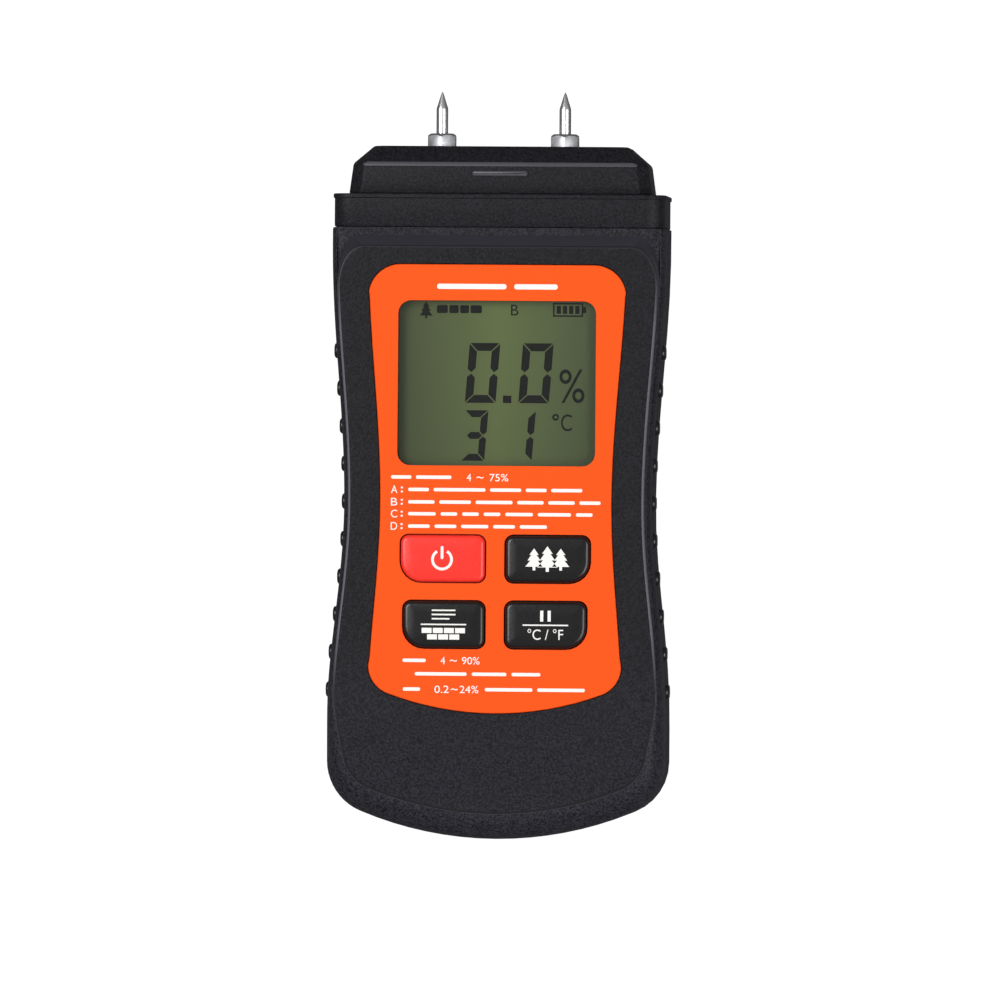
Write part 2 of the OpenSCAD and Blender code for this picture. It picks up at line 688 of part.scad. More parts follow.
// ---------------------------------------------------------------- screws

module case_screws() color("#8e9094") for (at = case_posts) difference() {
    union() {
        post(at, screw_d / 2, screw_pocket, post_joint_z + 7);
        post(at, screw_head_d / 2, screw_pocket - 1.8, screw_pocket);
    }
    for (turn = [0, 90]) translate([at[0], Y(at[1]), screw_pocket - 1.8]) rotate(turn)
        cube([2.6, 0.6, 1.8], center = true);
}

module board_screws() color("#b0b2b6") for (at = board_posts) difference() {
    union() {
        post(at, board_screw_d / 2, board_z - board_t - EPS, board_z + 3.5);
        post(at, board_screw_d / 2 + 0.9, board_z - board_t - 1.2, board_z - board_t);
    }
    for (turn = [0, 90]) translate([at[0], Y(at[1]), board_z - board_t - 1.2]) rotate(turn)
        cube([2, 0.5, 1], center = true);
}

front_shell();
back_shell();
sensor_head();
label_overlay();
display_window();
display_glass();
display_frame();
backlight_panel();
zebra_strip(1);  // upper_zebra_strip
zebra_strip(-1);  // lower_zebra_strip
main_board();
keypad_mat();
power_key();
wood_key();
wall_key();
hold_key();
pill(POWER);  // power_pill
pill(WOOD);  // wood_pill
pill(WALL);  // wall_pill
pill(HOLD);  // hold_pill
dome(POWER);  // power_dome
dome(WOOD);  // wood_dome
dome(WALL);  // wall_dome
dome(HOLD);  // hold_dome
pin(-1);  // left_pin
pin(1);  // right_pin
pin_nuts();
socket(-1);  // left_socket
socket(1);  // right_socket
lead_strap(-1);  // left_lead_strap
lead_strap(1);  // right_lead_strap
battery_door();
battery_cell(0);  // battery_cell_1
battery_cell(1);  // battery_cell_2
battery_cell(2);  // battery_cell_3
battery_springs();
spring_plates();
button_plates();
case_screws();
board_screws();
buzzer();
microcontroller();
board_components();
temperature_sensor();
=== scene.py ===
"""Handheld pin moisture meter: pieces, materials, light and camera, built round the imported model."""
import json
import math

import bmesh
import bpy
from mathutils import Matrix, Vector

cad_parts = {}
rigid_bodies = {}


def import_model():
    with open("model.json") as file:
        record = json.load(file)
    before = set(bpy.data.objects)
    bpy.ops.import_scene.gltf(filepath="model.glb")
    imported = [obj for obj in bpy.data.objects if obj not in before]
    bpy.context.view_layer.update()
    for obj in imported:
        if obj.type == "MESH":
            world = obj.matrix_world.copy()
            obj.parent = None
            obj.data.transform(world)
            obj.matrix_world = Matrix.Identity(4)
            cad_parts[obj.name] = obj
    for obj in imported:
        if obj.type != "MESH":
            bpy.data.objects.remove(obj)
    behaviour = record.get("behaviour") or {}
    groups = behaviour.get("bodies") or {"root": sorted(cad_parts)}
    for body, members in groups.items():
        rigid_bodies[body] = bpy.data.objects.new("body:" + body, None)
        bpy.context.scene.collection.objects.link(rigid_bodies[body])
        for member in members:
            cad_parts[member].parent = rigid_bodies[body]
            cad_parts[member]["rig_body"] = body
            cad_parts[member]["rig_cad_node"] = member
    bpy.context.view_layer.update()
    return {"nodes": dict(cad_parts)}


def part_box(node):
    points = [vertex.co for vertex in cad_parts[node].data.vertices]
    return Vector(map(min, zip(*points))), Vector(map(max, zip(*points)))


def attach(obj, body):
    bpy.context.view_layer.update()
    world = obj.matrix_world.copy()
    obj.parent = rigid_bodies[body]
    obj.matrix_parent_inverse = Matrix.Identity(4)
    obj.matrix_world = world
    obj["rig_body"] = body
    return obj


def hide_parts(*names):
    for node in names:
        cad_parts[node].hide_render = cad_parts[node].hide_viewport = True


bl_info = {
    "name": "Moisture Meter Looks",
    "version": (1, 0, 0),
    "blender": (4, 5, 0),
    "location": "3D View > Sidebar > Moisture Meter",
    "description": "Builds the pieces, finishes and stage of a handheld pin moisture meter",
    "category": "Object",
}

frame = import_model()
NODES = frame["nodes"]
MM = 0.001

# ---------------------------------------------------------------- sizes in millimetres

CASE_HALF_LEN = 1000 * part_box("front_shell")[1].y  # station of the case's top edge, from the middle
CASE_LEN = 123.6
MIDDLE = CASE_LEN - CASE_HALF_LEN                  # station of the model's middle
FACE_Z = 1000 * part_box("front_shell")[1].z
PARTING_Z = 1000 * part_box("back_shell")[1].z
POST_FOOT_Z = 1000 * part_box("front_shell")[0].z
POSTS = ((25.5, 115.8), (24, 14))  # x and station of the screw posts on one side
POST_R = 3
BORE_R = 1.3
BORE_DEPTH = 8
WALL = 2.2
UNDER_Z = 27.2

# The outline: a waist that widens by the first number over the second, towards both ends, and a foot
# of three arcs
WAIST_HALF = 31.2
WAIST_AT = 68
SHOULDER = (2.7, 52)
HIP = (3.1, 44)
CORNER_X = 23.3
CORNER_R = 11
FOOT_R = 72
CORNER_AT = FOOT_R - math.sqrt((FOOT_R - CORNER_R) ** 2 - CORNER_X ** 2)
FOOT_TURN = math.atan2(CORNER_X, FOOT_R - CORNER_AT)

# Points along each stretch of a closed loop round the case: top, top corner, side, hip corner, foot
TOP_STEPS = 8
TURN_STEPS = 10
SIDE_STEPS = 40
HIP_STEPS = 10
FOOT_STEPS = 8

SIDE_RUN = 1.2              # how far the outer wall leans in on its way up, at the sides
FOOT_RUN = 5.0              # the same, round the foot
WALL_R = 3.6                # radius that the wall turns with under the raised front
WALL_STEPS = 8
STRIP_Z = 27.5              # flat strip under the collar
SQUARE = (0.5, 0.5)         # radii of a nearly square top corner
STEP_IN = (1.75, 5.6, 4.1)  # edge of the raised front, in from the side, the foot and the top
STEP_TURN = (5, 8)
LIP_R = 0.45                # rounding of that edge

# The front shell's finishes, in their order. The polished band and the outer wall carry painted sheen, the
# line a painted highlight.
ETCHED, POLISHED, OUTER, LINE = range(4)

LABEL_Z = 29.4
LABEL_TOP = 116.1
LABEL_TOP_R = 6.5
LABEL_FOOT = 25.5
LABEL_ARC_R = 62
LABEL_FOOT_R = 6

WINDOW = (40, 33.3, 2.6, 92.15)  # width, height, corner radius, station of its middle

# Each key: width, station of its middle, side
KEYS = {
    "power": (17, 56.7, -1),
    "wood": (17, 56.7, 1),
    "wall": (16.4, 43.4, -1),
    "hold": (16.4, 43.4, 1),
}
KEY_H = 9.4
KEY_GAP = 4.2
KEY_R = 1.6
KEY_BIG_R = 4.2
KEY_TOP = 31

# The sensor head's sleeves: half width, low and high z, corner radius, then each loop's station and inset
SLEEVES = {
    "collar": (33.5, 0.4, 27.5, 3.6, ((123.6, 0.6), (123.75, 0.12), (124.0, 0), (129.55, 0))),
    "lip": (33.75, 0.15, 27.75, 3.8, ((129.45, 0.3), (129.5, 0.1), (129.6, 0), (130.2, 0), (130.36, 0.08),
                                      (130.4, 0.24))),
    "tongue": (30.8, 2.6, 24.9, 5, ((118.2, 0.4), (118.6, 0), (123.7, 0))),
}
BLOCK_EDGE_AT = 136.55  # station where the head block's bevel begins

PIN_X = 12.5
PIN_Z = 13.95
# Station and radius along a pin, from inside the head to its point
PIN_PROFILE = ((129.4, 1.3), (129.6, 1.5), (142.85, 1.5), (142.9, 1.2), (147.8, 1.2), (148.05, 1.18),
               (148.4, 1.06), (150.9, 0.28), (151.2, 0.15), (151.4, 0.04))
HEAD_TOP = 140.2
NUT_FLATS = 5.6
NUT_H = 2.7

# The print's rows: station, height of the marks, then each mark with the two x it lies between. A mark
# is a text, or the lengths of the bars that stand for words.
PRINT_ROWS = (
    (111.65, 2.3, (((8, 5), -12.2, 12.2),)),
    (73.1, 1.5, (((4, 7), -21.2, -9.0), ("4", -5.9, -5.0), ("~", -3.9, -2.5), ("75%", -1.3, 2.5))),
    (70.6, 1.5, (("A", -21.2, -19.9), (":", -19.2, -18.8), ((4, 10, 6, 4, 6), -17.7, 17.5))),
    (68.1, 1.5, (("B", -21.2, -19.9), (":", -19.2, -18.8), ((5, 6, 7, 5, 5, 4), -17.7, 21.2))),
    (65.7, 1.5, (("C", -21.2, -19.9), (":", -19.2, -18.8), ((5, 3, 3, 3, 5, 6, 3), -17.7, 19.6))),
    (63.2, 1.5, (("D", -21.2, -19.9), (":", -19.2, -18.8), ((4, 4, 5, 4, 5), -17.7, 10.4))),
    (36.1, 1.5, (((5,), -18.6, -13.9), ("4", -10.9, -10.0), ("~", -9.0, -7.6), ("90%", -6.6, -3.0))),
    (33.4, 1.5, (((9, 6, 5), -16.1, 9.3),)),
    (30.3, 1.5, (((4,), -18.5, -15.0), ("0.2", -12.1, -9.2), ("~", -8.8, -7.4), ("24%", -7.0, -3.2),
                 ((9, 9), -1.9, 18.3))),
)
MARK_HEIGHTS = {"~": 0.4, "A": 1.55, "B": 1.55, "C": 1.55, "D": 1.55}
WORD_GAP = 0.9

# The display. Each digit: segments, x from and to, station from and to, thickness, lean
DIGITS = (
    ("abcdef", -6.6, 0.5, 88.2, 100.3, 1.6, 0.9),
    ("abcdef", 4.2, 11.3, 88.2, 100.3, 1.6, 0.9),
    ("abcdg", -7.4, -1.8, 76.5, 86.7, 1.4, 0.8),
    ("bc", 1.9, 7.8, 76.5, 86.7, 1.4, 0.8),
)
# Decimal point, the battery sign's outline and tip, and its four cells
DISPLAY_BARS = (
    (1.1, 2.8, 88.2, 89.7),
    (11.1, 17.2, 105.7, 106.0), (11.1, 17.2, 108.2, 108.5), (11.1, 11.4, 105.7, 108.5),
    (16.9, 17.2, 105.7, 108.5), (17.2, 17.8, 106.5, 107.7),
    *((11.85 + 1.25 * k, 12.7 + 1.25 * k, 106.3, 107.9) for k in range(4)),
)
DISPLAY_WORDS = ((-12.4, -10.2), (-9.9, -8.0), (-7.7, -5.9), (-5.6, -3.3))
DISPLAY_MARKS = (("%", 12.5, 17.6, 88.3, 95.1), ("C", 12.9, 15.1, 82.6, 86.0), ("B", 2.6, 4.1, 105.9, 108.1))

# Bars of the key signs, from each key's middle: the power bar, the sheet over bricks, the pause sign
SIGN_BARS = {
    "power": ((-0.38, 0.18, -0.1, 2.5),),
    "wood": (),
    "wall": ((-4.6, 4.6, -0.14, 0.14), (-2.4, 2.4, 2.7, 3), (-2.4, 2.4, 1.85, 2.15), (-2.4, 1.2, 1, 1.3),
             *((x, x + 2, -1.75, -0.7) for x in (-4.4, -2.15, 0.1, 2.35)),
             *((x, x + 2, -3.05, -2) for x in (-3.3, -1.05, 1.2))),
    "hold": ((-4.6, 4.6, -0.14, 0.14), (-1.07, -0.43, 0.75, 2.95), (0.43, 1.07, 0.75, 2.95)),
}
# Right half of a fir tree, from its tip to its trunk
TREE = ((0, 1.75), (0.75, 0.7), (0.42, 0.7), (1.05, -0.2), (0.6, -0.2), (1.4, -1.2), (0.22, -1.2),
        (0.22, -1.8))

BUMPS = 10
BUMP_FIRST = 30
BUMP_PITCH = 7.63
BUMP_Z = (16.4, 21.1)
BUMP_R = 1.62
# How far a bead stands out and how much smaller it is there, up to its crown
BUMP_PROFILE = ((-0.5, 0), (0.12, 0), (0.36, 0.06), (0.52, 0.16), (0.66, 0.36), (0.73, 0.62))


def ease(t):
    """A smooth step from 0 to 1."""
    return (1 - math.cos(math.pi * min(max(t, 0), 1))) / 2


def half_width(s):
    """Half the width of the case at a station."""
    if s > WAIST_AT:
        return WAIST_HALF + SHOULDER[0] * ease((s - WAIST_AT) / SHOULDER[1])
    return WAIST_HALF + HIP[0] * ease((WAIST_AT - s) / HIP[1])


def face_z(s):
    """Height of the front face, which falls away towards the foot."""
    return FACE_Z - 2.2 * ease((26 - s) / 24)


def both_sides(right, height):
    """A closed loop from its right half, which runs from the top middle to the foot middle. height is
    a number or gives z at a station."""
    points = right + [(-x, s) for x, s in reversed(right[1:-1])]
    return [(x, s, height(s) if callable(height) else height) for x, s in points]


def case_loop(side_in, foot_in, top_in, turn, height):
    """A loop round the case, moved inwards. turn holds the top corner's two radii."""
    def inset(s):
        return side_in + (foot_in - side_in) * ease((34 - s) / 30)

    top = CASE_LEN - top_in
    rx, ry = turn
    start = top - ry
    edge_x = half_width(start) - inset(start)
    points = [((edge_x - rx) * k / TOP_STEPS, top) for k in range(TOP_STEPS)]
    for k in range(TURN_STEPS):
        a = math.pi / 2 * (1 - k / TURN_STEPS)
        points.append((edge_x - rx + rx * math.cos(a), start + ry * math.sin(a)))
    for k in range(SIDE_STEPS):
        s = start + (CORNER_AT - start) * k / SIDE_STEPS
        points.append((half_width(s) - inset(s), s))
    for k in range(HIP_STEPS):
        a = -(math.pi / 2 - FOOT_TURN) * k / HIP_STEPS
        s = CORNER_AT + CORNER_R * math.sin(a)
        r = CORNER_R - inset(s)
        points.append((CORNER_X + r * math.cos(a), CORNER_AT + r * math.sin(a)))
    for k in range(FOOT_STEPS + 1):
        a = FOOT_TURN * (1 - k / FOOT_STEPS)
        r = FOOT_R - inset(FOOT_R * (1 - math.cos(a)))
        points.append((r * math.sin(a), FOOT_R - r * math.cos(a)))
    return both_sides(points, height)


def label_half(s):
    """Half the width of the label at a station."""
    return half_width(s) - 7.8 - 0.75 * ease((WAIST_AT - s) / HIP[1])


def label_loop(grow, height):
    """A loop round the label with as many points as a loop round the case."""
    top_x = label_half(LABEL_TOP) - LABEL_TOP_R
    start = LABEL_TOP - LABEL_TOP_R
    foot_x = label_half(LABEL_FOOT + LABEL_FOOT_R) - LABEL_FOOT_R
    centre = LABEL_FOOT + LABEL_ARC_R
    foot_s = centre - math.sqrt((LABEL_ARC_R - LABEL_FOOT_R) ** 2 - foot_x ** 2)
    turn = math.atan2(foot_x, centre - foot_s)
    points = [(top_x * k / TOP_STEPS, LABEL_TOP + grow) for k in range(TOP_STEPS)]
    for k in range(TURN_STEPS):
        a = math.pi / 2 * (1 - k / TURN_STEPS)
        r = LABEL_TOP_R + grow
        points.append((top_x + r * math.cos(a), start + r * math.sin(a)))
    for k in range(SIDE_STEPS):
        s = start + (foot_s - start) * k / SIDE_STEPS
        points.append((label_half(s) + grow, s))
    for k in range(HIP_STEPS):
        a = -(math.pi / 2 - turn) * k / HIP_STEPS
        r = LABEL_FOOT_R + grow
        points.append((foot_x + r * math.cos(a), foot_s + r * math.sin(a)))
    for k in range(FOOT_STEPS + 1):
        a = turn * (1 - k / FOOT_STEPS)
        r = LABEL_ARC_R + grow
        points.append((r * math.sin(a), centre - r * math.cos(a)))
    return both_sides(points, height)


def between(loop_a, loop_b, t):
    """A loop on the front face, part of the way from one loop to another."""
    mixed = [Vector(a).lerp(Vector(b), t) for a, b in zip(loop_a, loop_b)]
    return [(x, s, face_z(s)) for x, s, _ in mixed]


def rounded_loop(w, h, radii, x, s, z, steps=7):
    """A rectangle with its four corner radii, from the upper right one anticlockwise."""
    out = []
    corners = ((1, 1, 0), (-1, 1, 90), (-1, -1, 180), (1, -1, 270))
    for (sx, ss, first), r in zip(corners, radii):
        for k in range(steps):
            a = math.radians(first + 90 * k / (steps - 1))
            out.append((x + sx * (w / 2 - r) + r * math.cos(a), s + ss * (h / 2 - r) + r * math.sin(a), z))
    return out


def window_loop(grow, z):
    """The window's outline moved outwards by grow."""
    w, h, r, s = WINDOW
    return rounded_loop(w + 2 * grow, h + 2 * grow, (max(r + grow, 0.3),) * 4, 0, s, z)


def key_centre(name):
    """The x and the station of a key's middle."""
    w, s, side = KEYS[name]
    return side * (KEY_GAP + w) / 2, s


def key_loop(name, grow, z):
    """A key's outline moved outwards by grow. Its lower outer corner is the large one."""
    w, s, side = KEYS[name]
    small = max(KEY_R + grow, 0.25)
    big = max(KEY_BIG_R + grow, 0.25)
    radii = (small, small, small, big) if side > 0 else (small, small, big, small)
    return rounded_loop(w + 2 * grow, KEY_H + 2 * grow, radii, key_centre(name)[0], s, z)


# ---------------------------------------------------------------- modelling helpers

def place(point):
    """A point given as (x, station, z) in millimetres, in the model's own metres."""
    x, s, z = point
    return Vector((x * MM, (s - MIDDLE) * MM, z * MM))


def deselect():
    """Leaves edit mode and selects nothing, before a piece is added."""
    if bpy.context.object and bpy.context.object.mode != "OBJECT":
        bpy.ops.object.mode_set(mode="OBJECT")
    bpy.ops.object.select_all(action="DESELECT")


def only(obj):
    """Makes one object the selected and active one."""
    deselect()
    obj.select_set(True)
    bpy.context.view_layer.objects.active = obj
    return obj


def named(name):
    """Gives the active object and its mesh a name."""
    obj = bpy.context.object
    obj.name = name
    obj.data.name = name
    return obj


def set_ring(mesh_data, layer, ring):
    """Puts the selected vertices on a loop, each at its own number along it."""
    for vert in mesh_data.verts:
        if vert.select:
            vert.co = place(ring[vert[layer]])


def close_skin():
    """In edit mode: joins doubled points and turns every face outwards."""
    bpy.ops.mesh.select_mode(type="VERT")
    bpy.ops.mesh.select_all(action="SELECT")
    bpy.ops.mesh.remove_doubles(threshold=0.002 * MM)
    bpy.ops.mesh.normals_make_consistent(inside=False)
    if bmesh.from_edit_mesh(bpy.context.object.data).calc_volume(signed=True) < 0:
        bpy.ops.mesh.flip_normals()


def loft(name, rings, finishes=None):
    """A closed skin: a circle of edges is extruded from loop to loop, then closed at both ends."""
    deselect()
    bpy.ops.mesh.primitive_circle_add(vertices=len(rings[0]), radius=0.01, fill_type="NOTHING")
    obj = named(name)
    bpy.ops.object.mode_set(mode="EDIT")
    shape = bmesh.from_edit_mesh(obj.data)
    layer = shape.verts.layers.int.new("along")
    shape.verts.ensure_lookup_table()
    for number, vert in enumerate(shape.verts):
        vert[layer] = number
    set_ring(shape, layer, rings[0])
    bmesh.update_edit_mesh(obj.data)
    bpy.ops.mesh.edge_face_add()
    shape = bmesh.from_edit_mesh(obj.data)
    for face in shape.faces:
        face.select_set(False)
    for edge in shape.edges:
        edge.select_set(True)
    bpy.ops.mesh.select_mode(type="EDGE")
    for step, ring in enumerate(rings[1:]):
        bpy.ops.mesh.extrude_edges_indiv()
        shape = bmesh.from_edit_mesh(obj.data)
        layer = shape.verts.layers.int["along"]
        set_ring(shape, layer, ring)
        if finishes:
            for face in shape.faces:
                if sum(1 for v in face.verts if v.select) == 2 and len(face.verts) == 4:
                    face.material_index = finishes[step]
        bmesh.update_edit_mesh(obj.data)
    bpy.ops.mesh.edge_face_add()
    if finishes:
        for face in bmesh.from_edit_mesh(obj.data).faces:
            if face.select:
                face.material_index = finishes[-1]
    close_skin()
    bpy.ops.object.mode_set(mode="OBJECT")
    obj.data.attributes.remove(obj.data.attributes["along"])
    return obj


def disc_loop(x, z, r, s, count=40):
    """A circle round a line that runs along the meter."""
    turns = [2 * math.pi * k / count for k in range(count)]
    return [(x + r * math.sin(a), s, z + r * math.cos(a)) for a in turns]


def post_loop(x, s, r, z, count=32):
    """A circle round a line that stands on the back."""
    turns = [2 * math.pi * k / count for k in range(count)]
    return [(x + r * math.cos(a), s + r * math.sin(a), z) for a in turns]


def use_modifier(obj, kind, **settings):
    """Adds a modifier with its settings and applies it."""
    only(obj)
    modifier = obj.modifiers.new(kind.title(), kind)
    for key, value in settings.items():
        setattr(modifier, key, value)
    bpy.ops.object.modifier_apply(modifier=modifier.name)
    return obj


def carve(obj, cutter, how="DIFFERENCE"):
    """Cuts one piece with another and removes the cutter."""
    use_modifier(obj, "BOOLEAN", operation=how, solver="EXACT", object=cutter)
    bpy.data.objects.remove(cutter)
    return obj


def cut_window(obj, grow, low, high):
    carve(obj, loft("cutter", [window_loop(grow, z) for z in (low, high)]))


def cut_keys(obj, grow, low):
    """Cuts the four key openings from a height up to above the face."""
    for name in KEYS:
        carve(obj, loft("cutter", [key_loop(name, grow, z) for z in (low, FACE_Z + 1)]))


def soften(obj, width, angle, segments):
    """Rounds the edges that are sharper than the angle."""
    return use_modifier(obj, "BEVEL", width=width * MM, segments=segments, limit_method="ANGLE",
                        angle_limit=math.radians(angle))


def smooth(obj, angle):
    """Shades edges smooth up to an angle."""
    only(obj)
    bpy.ops.object.shade_smooth_by_angle(angle=math.radians(angle))
    return obj


def join(name, pieces):
    deselect()
    for piece in pieces:
        piece.select_set(True)
    bpy.context.view_layer.objects.active = pieces[0]
    bpy.ops.object.join()
    return named(name)


def copy_of(obj):
    """A copy with its own mesh."""
    only(obj)
    bpy.ops.object.duplicate()
    return bpy.context.object


def flat_shape(points, z0, z1):
    """A thin plate with the outline points, given as (x, station)."""
    deselect()
    bpy.ops.mesh.primitive_circle_add(vertices=len(points), radius=0.01, fill_type="NGON")
    obj = bpy.context.object
    bpy.ops.object.mode_set(mode="EDIT")
    shape = bmesh.from_edit_mesh(obj.data)
    shape.verts.ensure_lookup_table()
    for vert, (x, s) in zip(shape.verts, points):
        vert.co = place((x, s, z0))
    bmesh.update_edit_mesh(obj.data)
    bpy.ops.mesh.extrude_region_move(TRANSFORM_OT_translate={"value": (0, 0, (z1 - z0) * MM)})
    close_skin()
    bpy.ops.object.mode_set(mode="OBJECT")
    return obj


def bar(x0, x1, s0, s1, z0, z1, r=0.0):
    """A flat bar, with rounded ends when r is given."""
    if r <= 0:
        return flat_shape([(x0, s0), (x1, s0), (x1, s1), (x0, s1)], z0, z1)
    loop = rounded_loop(x1 - x0, s1 - s0, (r,) * 4, (x0 + x1) / 2, (s0 + s1) / 2, 0, steps=5)
    return flat_shape([(x, s) for x, s, _ in loop], z0, z1)


def arc_band(x, s, r_in, r_out, first, last, z0, z1, steps=28):
    """A flat band round a centre, from one angle to another in degrees."""
    angles = [math.radians(first + (last - first) * k / steps) for k in range(steps + 1)]
    outer = [(x + r_out * math.cos(a), s + r_out * math.sin(a)) for a in angles]
    inner = [(x + r_in * math.cos(a), s + r_in * math.sin(a)) for a in reversed(angles)]
    return flat_shape(outer + inner, z0, z1)


def lettering(text, x0, x1, s0, s1, z0, z1):
    """Numbers, signs or a unit letter, made a mesh and fitted into a box."""
    deselect()
    bpy.ops.object.text_add()
    obj = bpy.context.object
    obj.data.body = text
    obj.data.extrude = 0.5
    bpy.ops.object.convert(target="MESH")
    obj = bpy.context.object
    low = [min(v.co[i] for v in obj.data.vertices) for i in range(3)]
    high = [max(v.co[i] for v in obj.data.vertices) for i in range(3)]
    want_low = place((x0, s0, z0))
    want_high = place((x1, s1, z1))
    scale = [(want_high[i] - want_low[i]) / (high[i] - low[i]) for i in range(3)]
    obj.scale = scale
    obj.location = [want_low[i] - low[i] * scale[i] for i in range(3)]
    bpy.ops.object.transform_apply(location=True, rotation=True, scale=True)
    bpy.ops.object.mode_set(mode="EDIT")
    close_skin()
    bpy.ops.object.mode_set(mode="OBJECT")
    return obj


def merged_copy(node, name):
    """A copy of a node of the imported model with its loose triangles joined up."""
    only(NODES[node])
    bpy.ops.object.duplicate()
    obj = named(name)
    obj.parent = None
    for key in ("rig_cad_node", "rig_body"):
        if key in obj:
            del obj[key]
    bpy.ops.object.mode_set(mode="EDIT")
    bpy.ops.mesh.select_all(action="SELECT")
    bpy.ops.mesh.remove_doubles(threshold=0.002 * MM)
    bpy.ops.mesh.dissolve_limited(angle_limit=math.radians(0.5))
    close_skin()
    bpy.ops.object.mode_set(mode="OBJECT")
    return obj


def dress(obj, *finishes):
    """Gives a piece its finishes, by name, and keeps which face has which."""
    kept = [face.material_index for face in obj.data.polygons]
    obj.data.materials.clear()
    for finish in finishes:
        obj.data.materials.append(bpy.data.materials[finish])
    last = len(finishes) - 1
    obj.data.polygons.foreach_set("material_index", [min(index, last) for index in kept])
    return obj


def settle(obj, body, replaces=(), finishes=(), angle=None):
    """Completes a piece: its finishes, the angle up to which its edges are shaded smooth and the body it
    rides. It hides the nodes that it stands for."""
    if finishes:
        dress(obj, *finishes)
    if angle:
        smooth(obj, angle)
    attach(obj, body)
    if replaces:
        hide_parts(*replaces)
    return obj


# ---------------------------------------------------------------- materials

def linear(text):
    """An sRGB hex colour as linear red, green, blue and alpha."""
    parts = [int(text[k:k + 2], 16) / 255 for k in (1, 3, 5)]
    return tuple(p / 12.92 if p <= 0.04045 else ((p + 0.055) / 1.055) ** 2.4 for p in parts) + (1.0,)


def add_node(tree, kind, values=None, links=None, **settings):
    """Adds one node with its settings, its socket values and the sockets that feed it."""
    node = tree.nodes.new(kind)
    for key, value in settings.items():
        setattr(node, key, value)
    for key, value in (values or {}).items():
        node.inputs[key].default_value = value
    for key, source in (links or {}).items():
        tree.links.new(source, node.inputs[key])
    return node


def blank(name):
    """An empty material: its node tree, and the point on the piece that its patterns are drawn at."""
    made = bpy.data.materials.new(name)
    made.use_nodes = True
    made.node_tree.nodes.clear()
    return made.node_tree, add_node(made.node_tree, "ShaderNodeTexCoord").outputs["Object"]


def noise(tree, point, scale, **values):
    made = add_node(tree, "ShaderNodeTexNoise", {"Scale": scale, **values}, {"Vector": point})
    return made.outputs["Fac"]


def mapped(tree, source, start, end):
    """A value taken from one range to another."""
    node = add_node(tree, "ShaderNodeMapRange", {"From Min": start[0], "From Max": start[1],
                                                 "To Min": end[0], "To Max": end[1]}, {"Value": source})
    return node.outputs["Result"]


def axis(tree, point, letter):
    return add_node(tree, "ShaderNodeSeparateXYZ", links={"Vector": point}).outputs[letter]


def up_case(tree, point, low, high, end):
    """A value that changes evenly between two stations."""
    return mapped(tree, axis(tree, point, "Y"), ((low - MIDDLE) * MM, (high - MIDDLE) * MM), end)


def times(tree, first, second):
    product = add_node(tree, "ShaderNodeMath", links={0: first, 1: second}, operation="MULTIPLY")
    return product.outputs["Value"]


def shaded(tree, amount, colour=None, source=None):
    """A colour, or the colour from a source, made lighter or darker by an amount."""
    values = {0: linear(colour)[:3]} if colour else {}
    links = {"Scale": amount, **({0: source} if source else {})}
    return add_node(tree, "ShaderNodeVectorMath", values, links, operation="SCALE").outputs["Vector"]


def relief(tree, height, depth, **links):
    """Normals from a height. depth is in millimetres."""
    bump = add_node(tree, "ShaderNodeBump", {"Distance": depth * MM}, {"Height": height, **links})
    return bump.outputs["Normal"]


def show(tree, colour, normal, values, **links):
    """The surface shader and the material's output."""
    shader = add_node(tree, "ShaderNodeBsdfPrincipled", values,
                      {"Base Color": colour, "Normal": normal, **links})
    add_node(tree, "ShaderNodeOutputMaterial", links={"Surface": shader.outputs["BSDF"]})


def moulded(name, colour, rough, grain=0.6, depth=0.01, tone=0.06, metal=0.0, stretch=(1, 1, 1),
            specular=0.5, scatter=0.0):
    """An opaque surface. grain and depth are in millimetres, tone is how much its colour wanders."""
    tree, point = blank(name)
    drawn = add_node(tree, "ShaderNodeMapping", {"Scale": stretch}, {"Vector": point}).outputs["Vector"]
    fine = noise(tree, drawn, 1000 / grain, Detail=2.0, Roughness=0.55)
    wide = noise(tree, drawn, 1000 / (grain * 14), Detail=1.0)
    show(tree, shaded(tree, mapped(tree, wide, (0, 1), (1 - tone, 1 + tone)), colour),
         relief(tree, fine, depth),
         {"Metallic": metal, "Specular IOR Level": specular, "Subsurface Weight": scatter,
          "Subsurface Scale": 0.0008},
         Roughness=mapped(tree, fine, (0, 1), (rough * 0.86, rough * 1.14)))


def grained_abs(name, colour, grain=0.42, depth=0.06, etched_from=None, painted_foot_light=1.0):
    """Black ABS from a spark-eroded mould: small pits that break the light up. etched_from holds the
    two stations between which the pits come in, for a wall whose foot end is polished. The last argument
    sets the painted light at the foot end: how much lighter that end is drawn."""
    tree, point = blank(name)
    pits = add_node(tree, "ShaderNodeTexVoronoi", {"Scale": 1000 / grain, "Randomness": 1.0},
                    {"Vector": point}, feature="SMOOTH_F1").outputs["Distance"]
    fine = noise(tree, point, 1000 / grain, Detail=1.0)
    height = add_node(tree, "ShaderNodeMath", links={0: pits, 1: fine}, operation="ADD").outputs["Value"]
    strength = {"Strength": up_case(tree, point, *etched_from, (0, 1))} if etched_from else {}
    spots = mapped(tree, fine, (0.33, 0.67), (0.25, 1.75))
    # Painted light: the foot end is drawn lighter, fading out up to station 44.
    gain = times(tree, spots, up_case(tree, point, 16, 44, (painted_foot_light, 1)))
    show(tree, shaded(tree, gain, colour), relief(tree, height, depth, **strength),
         {"Roughness": 0.5, "Specular IOR Level": 0.2})


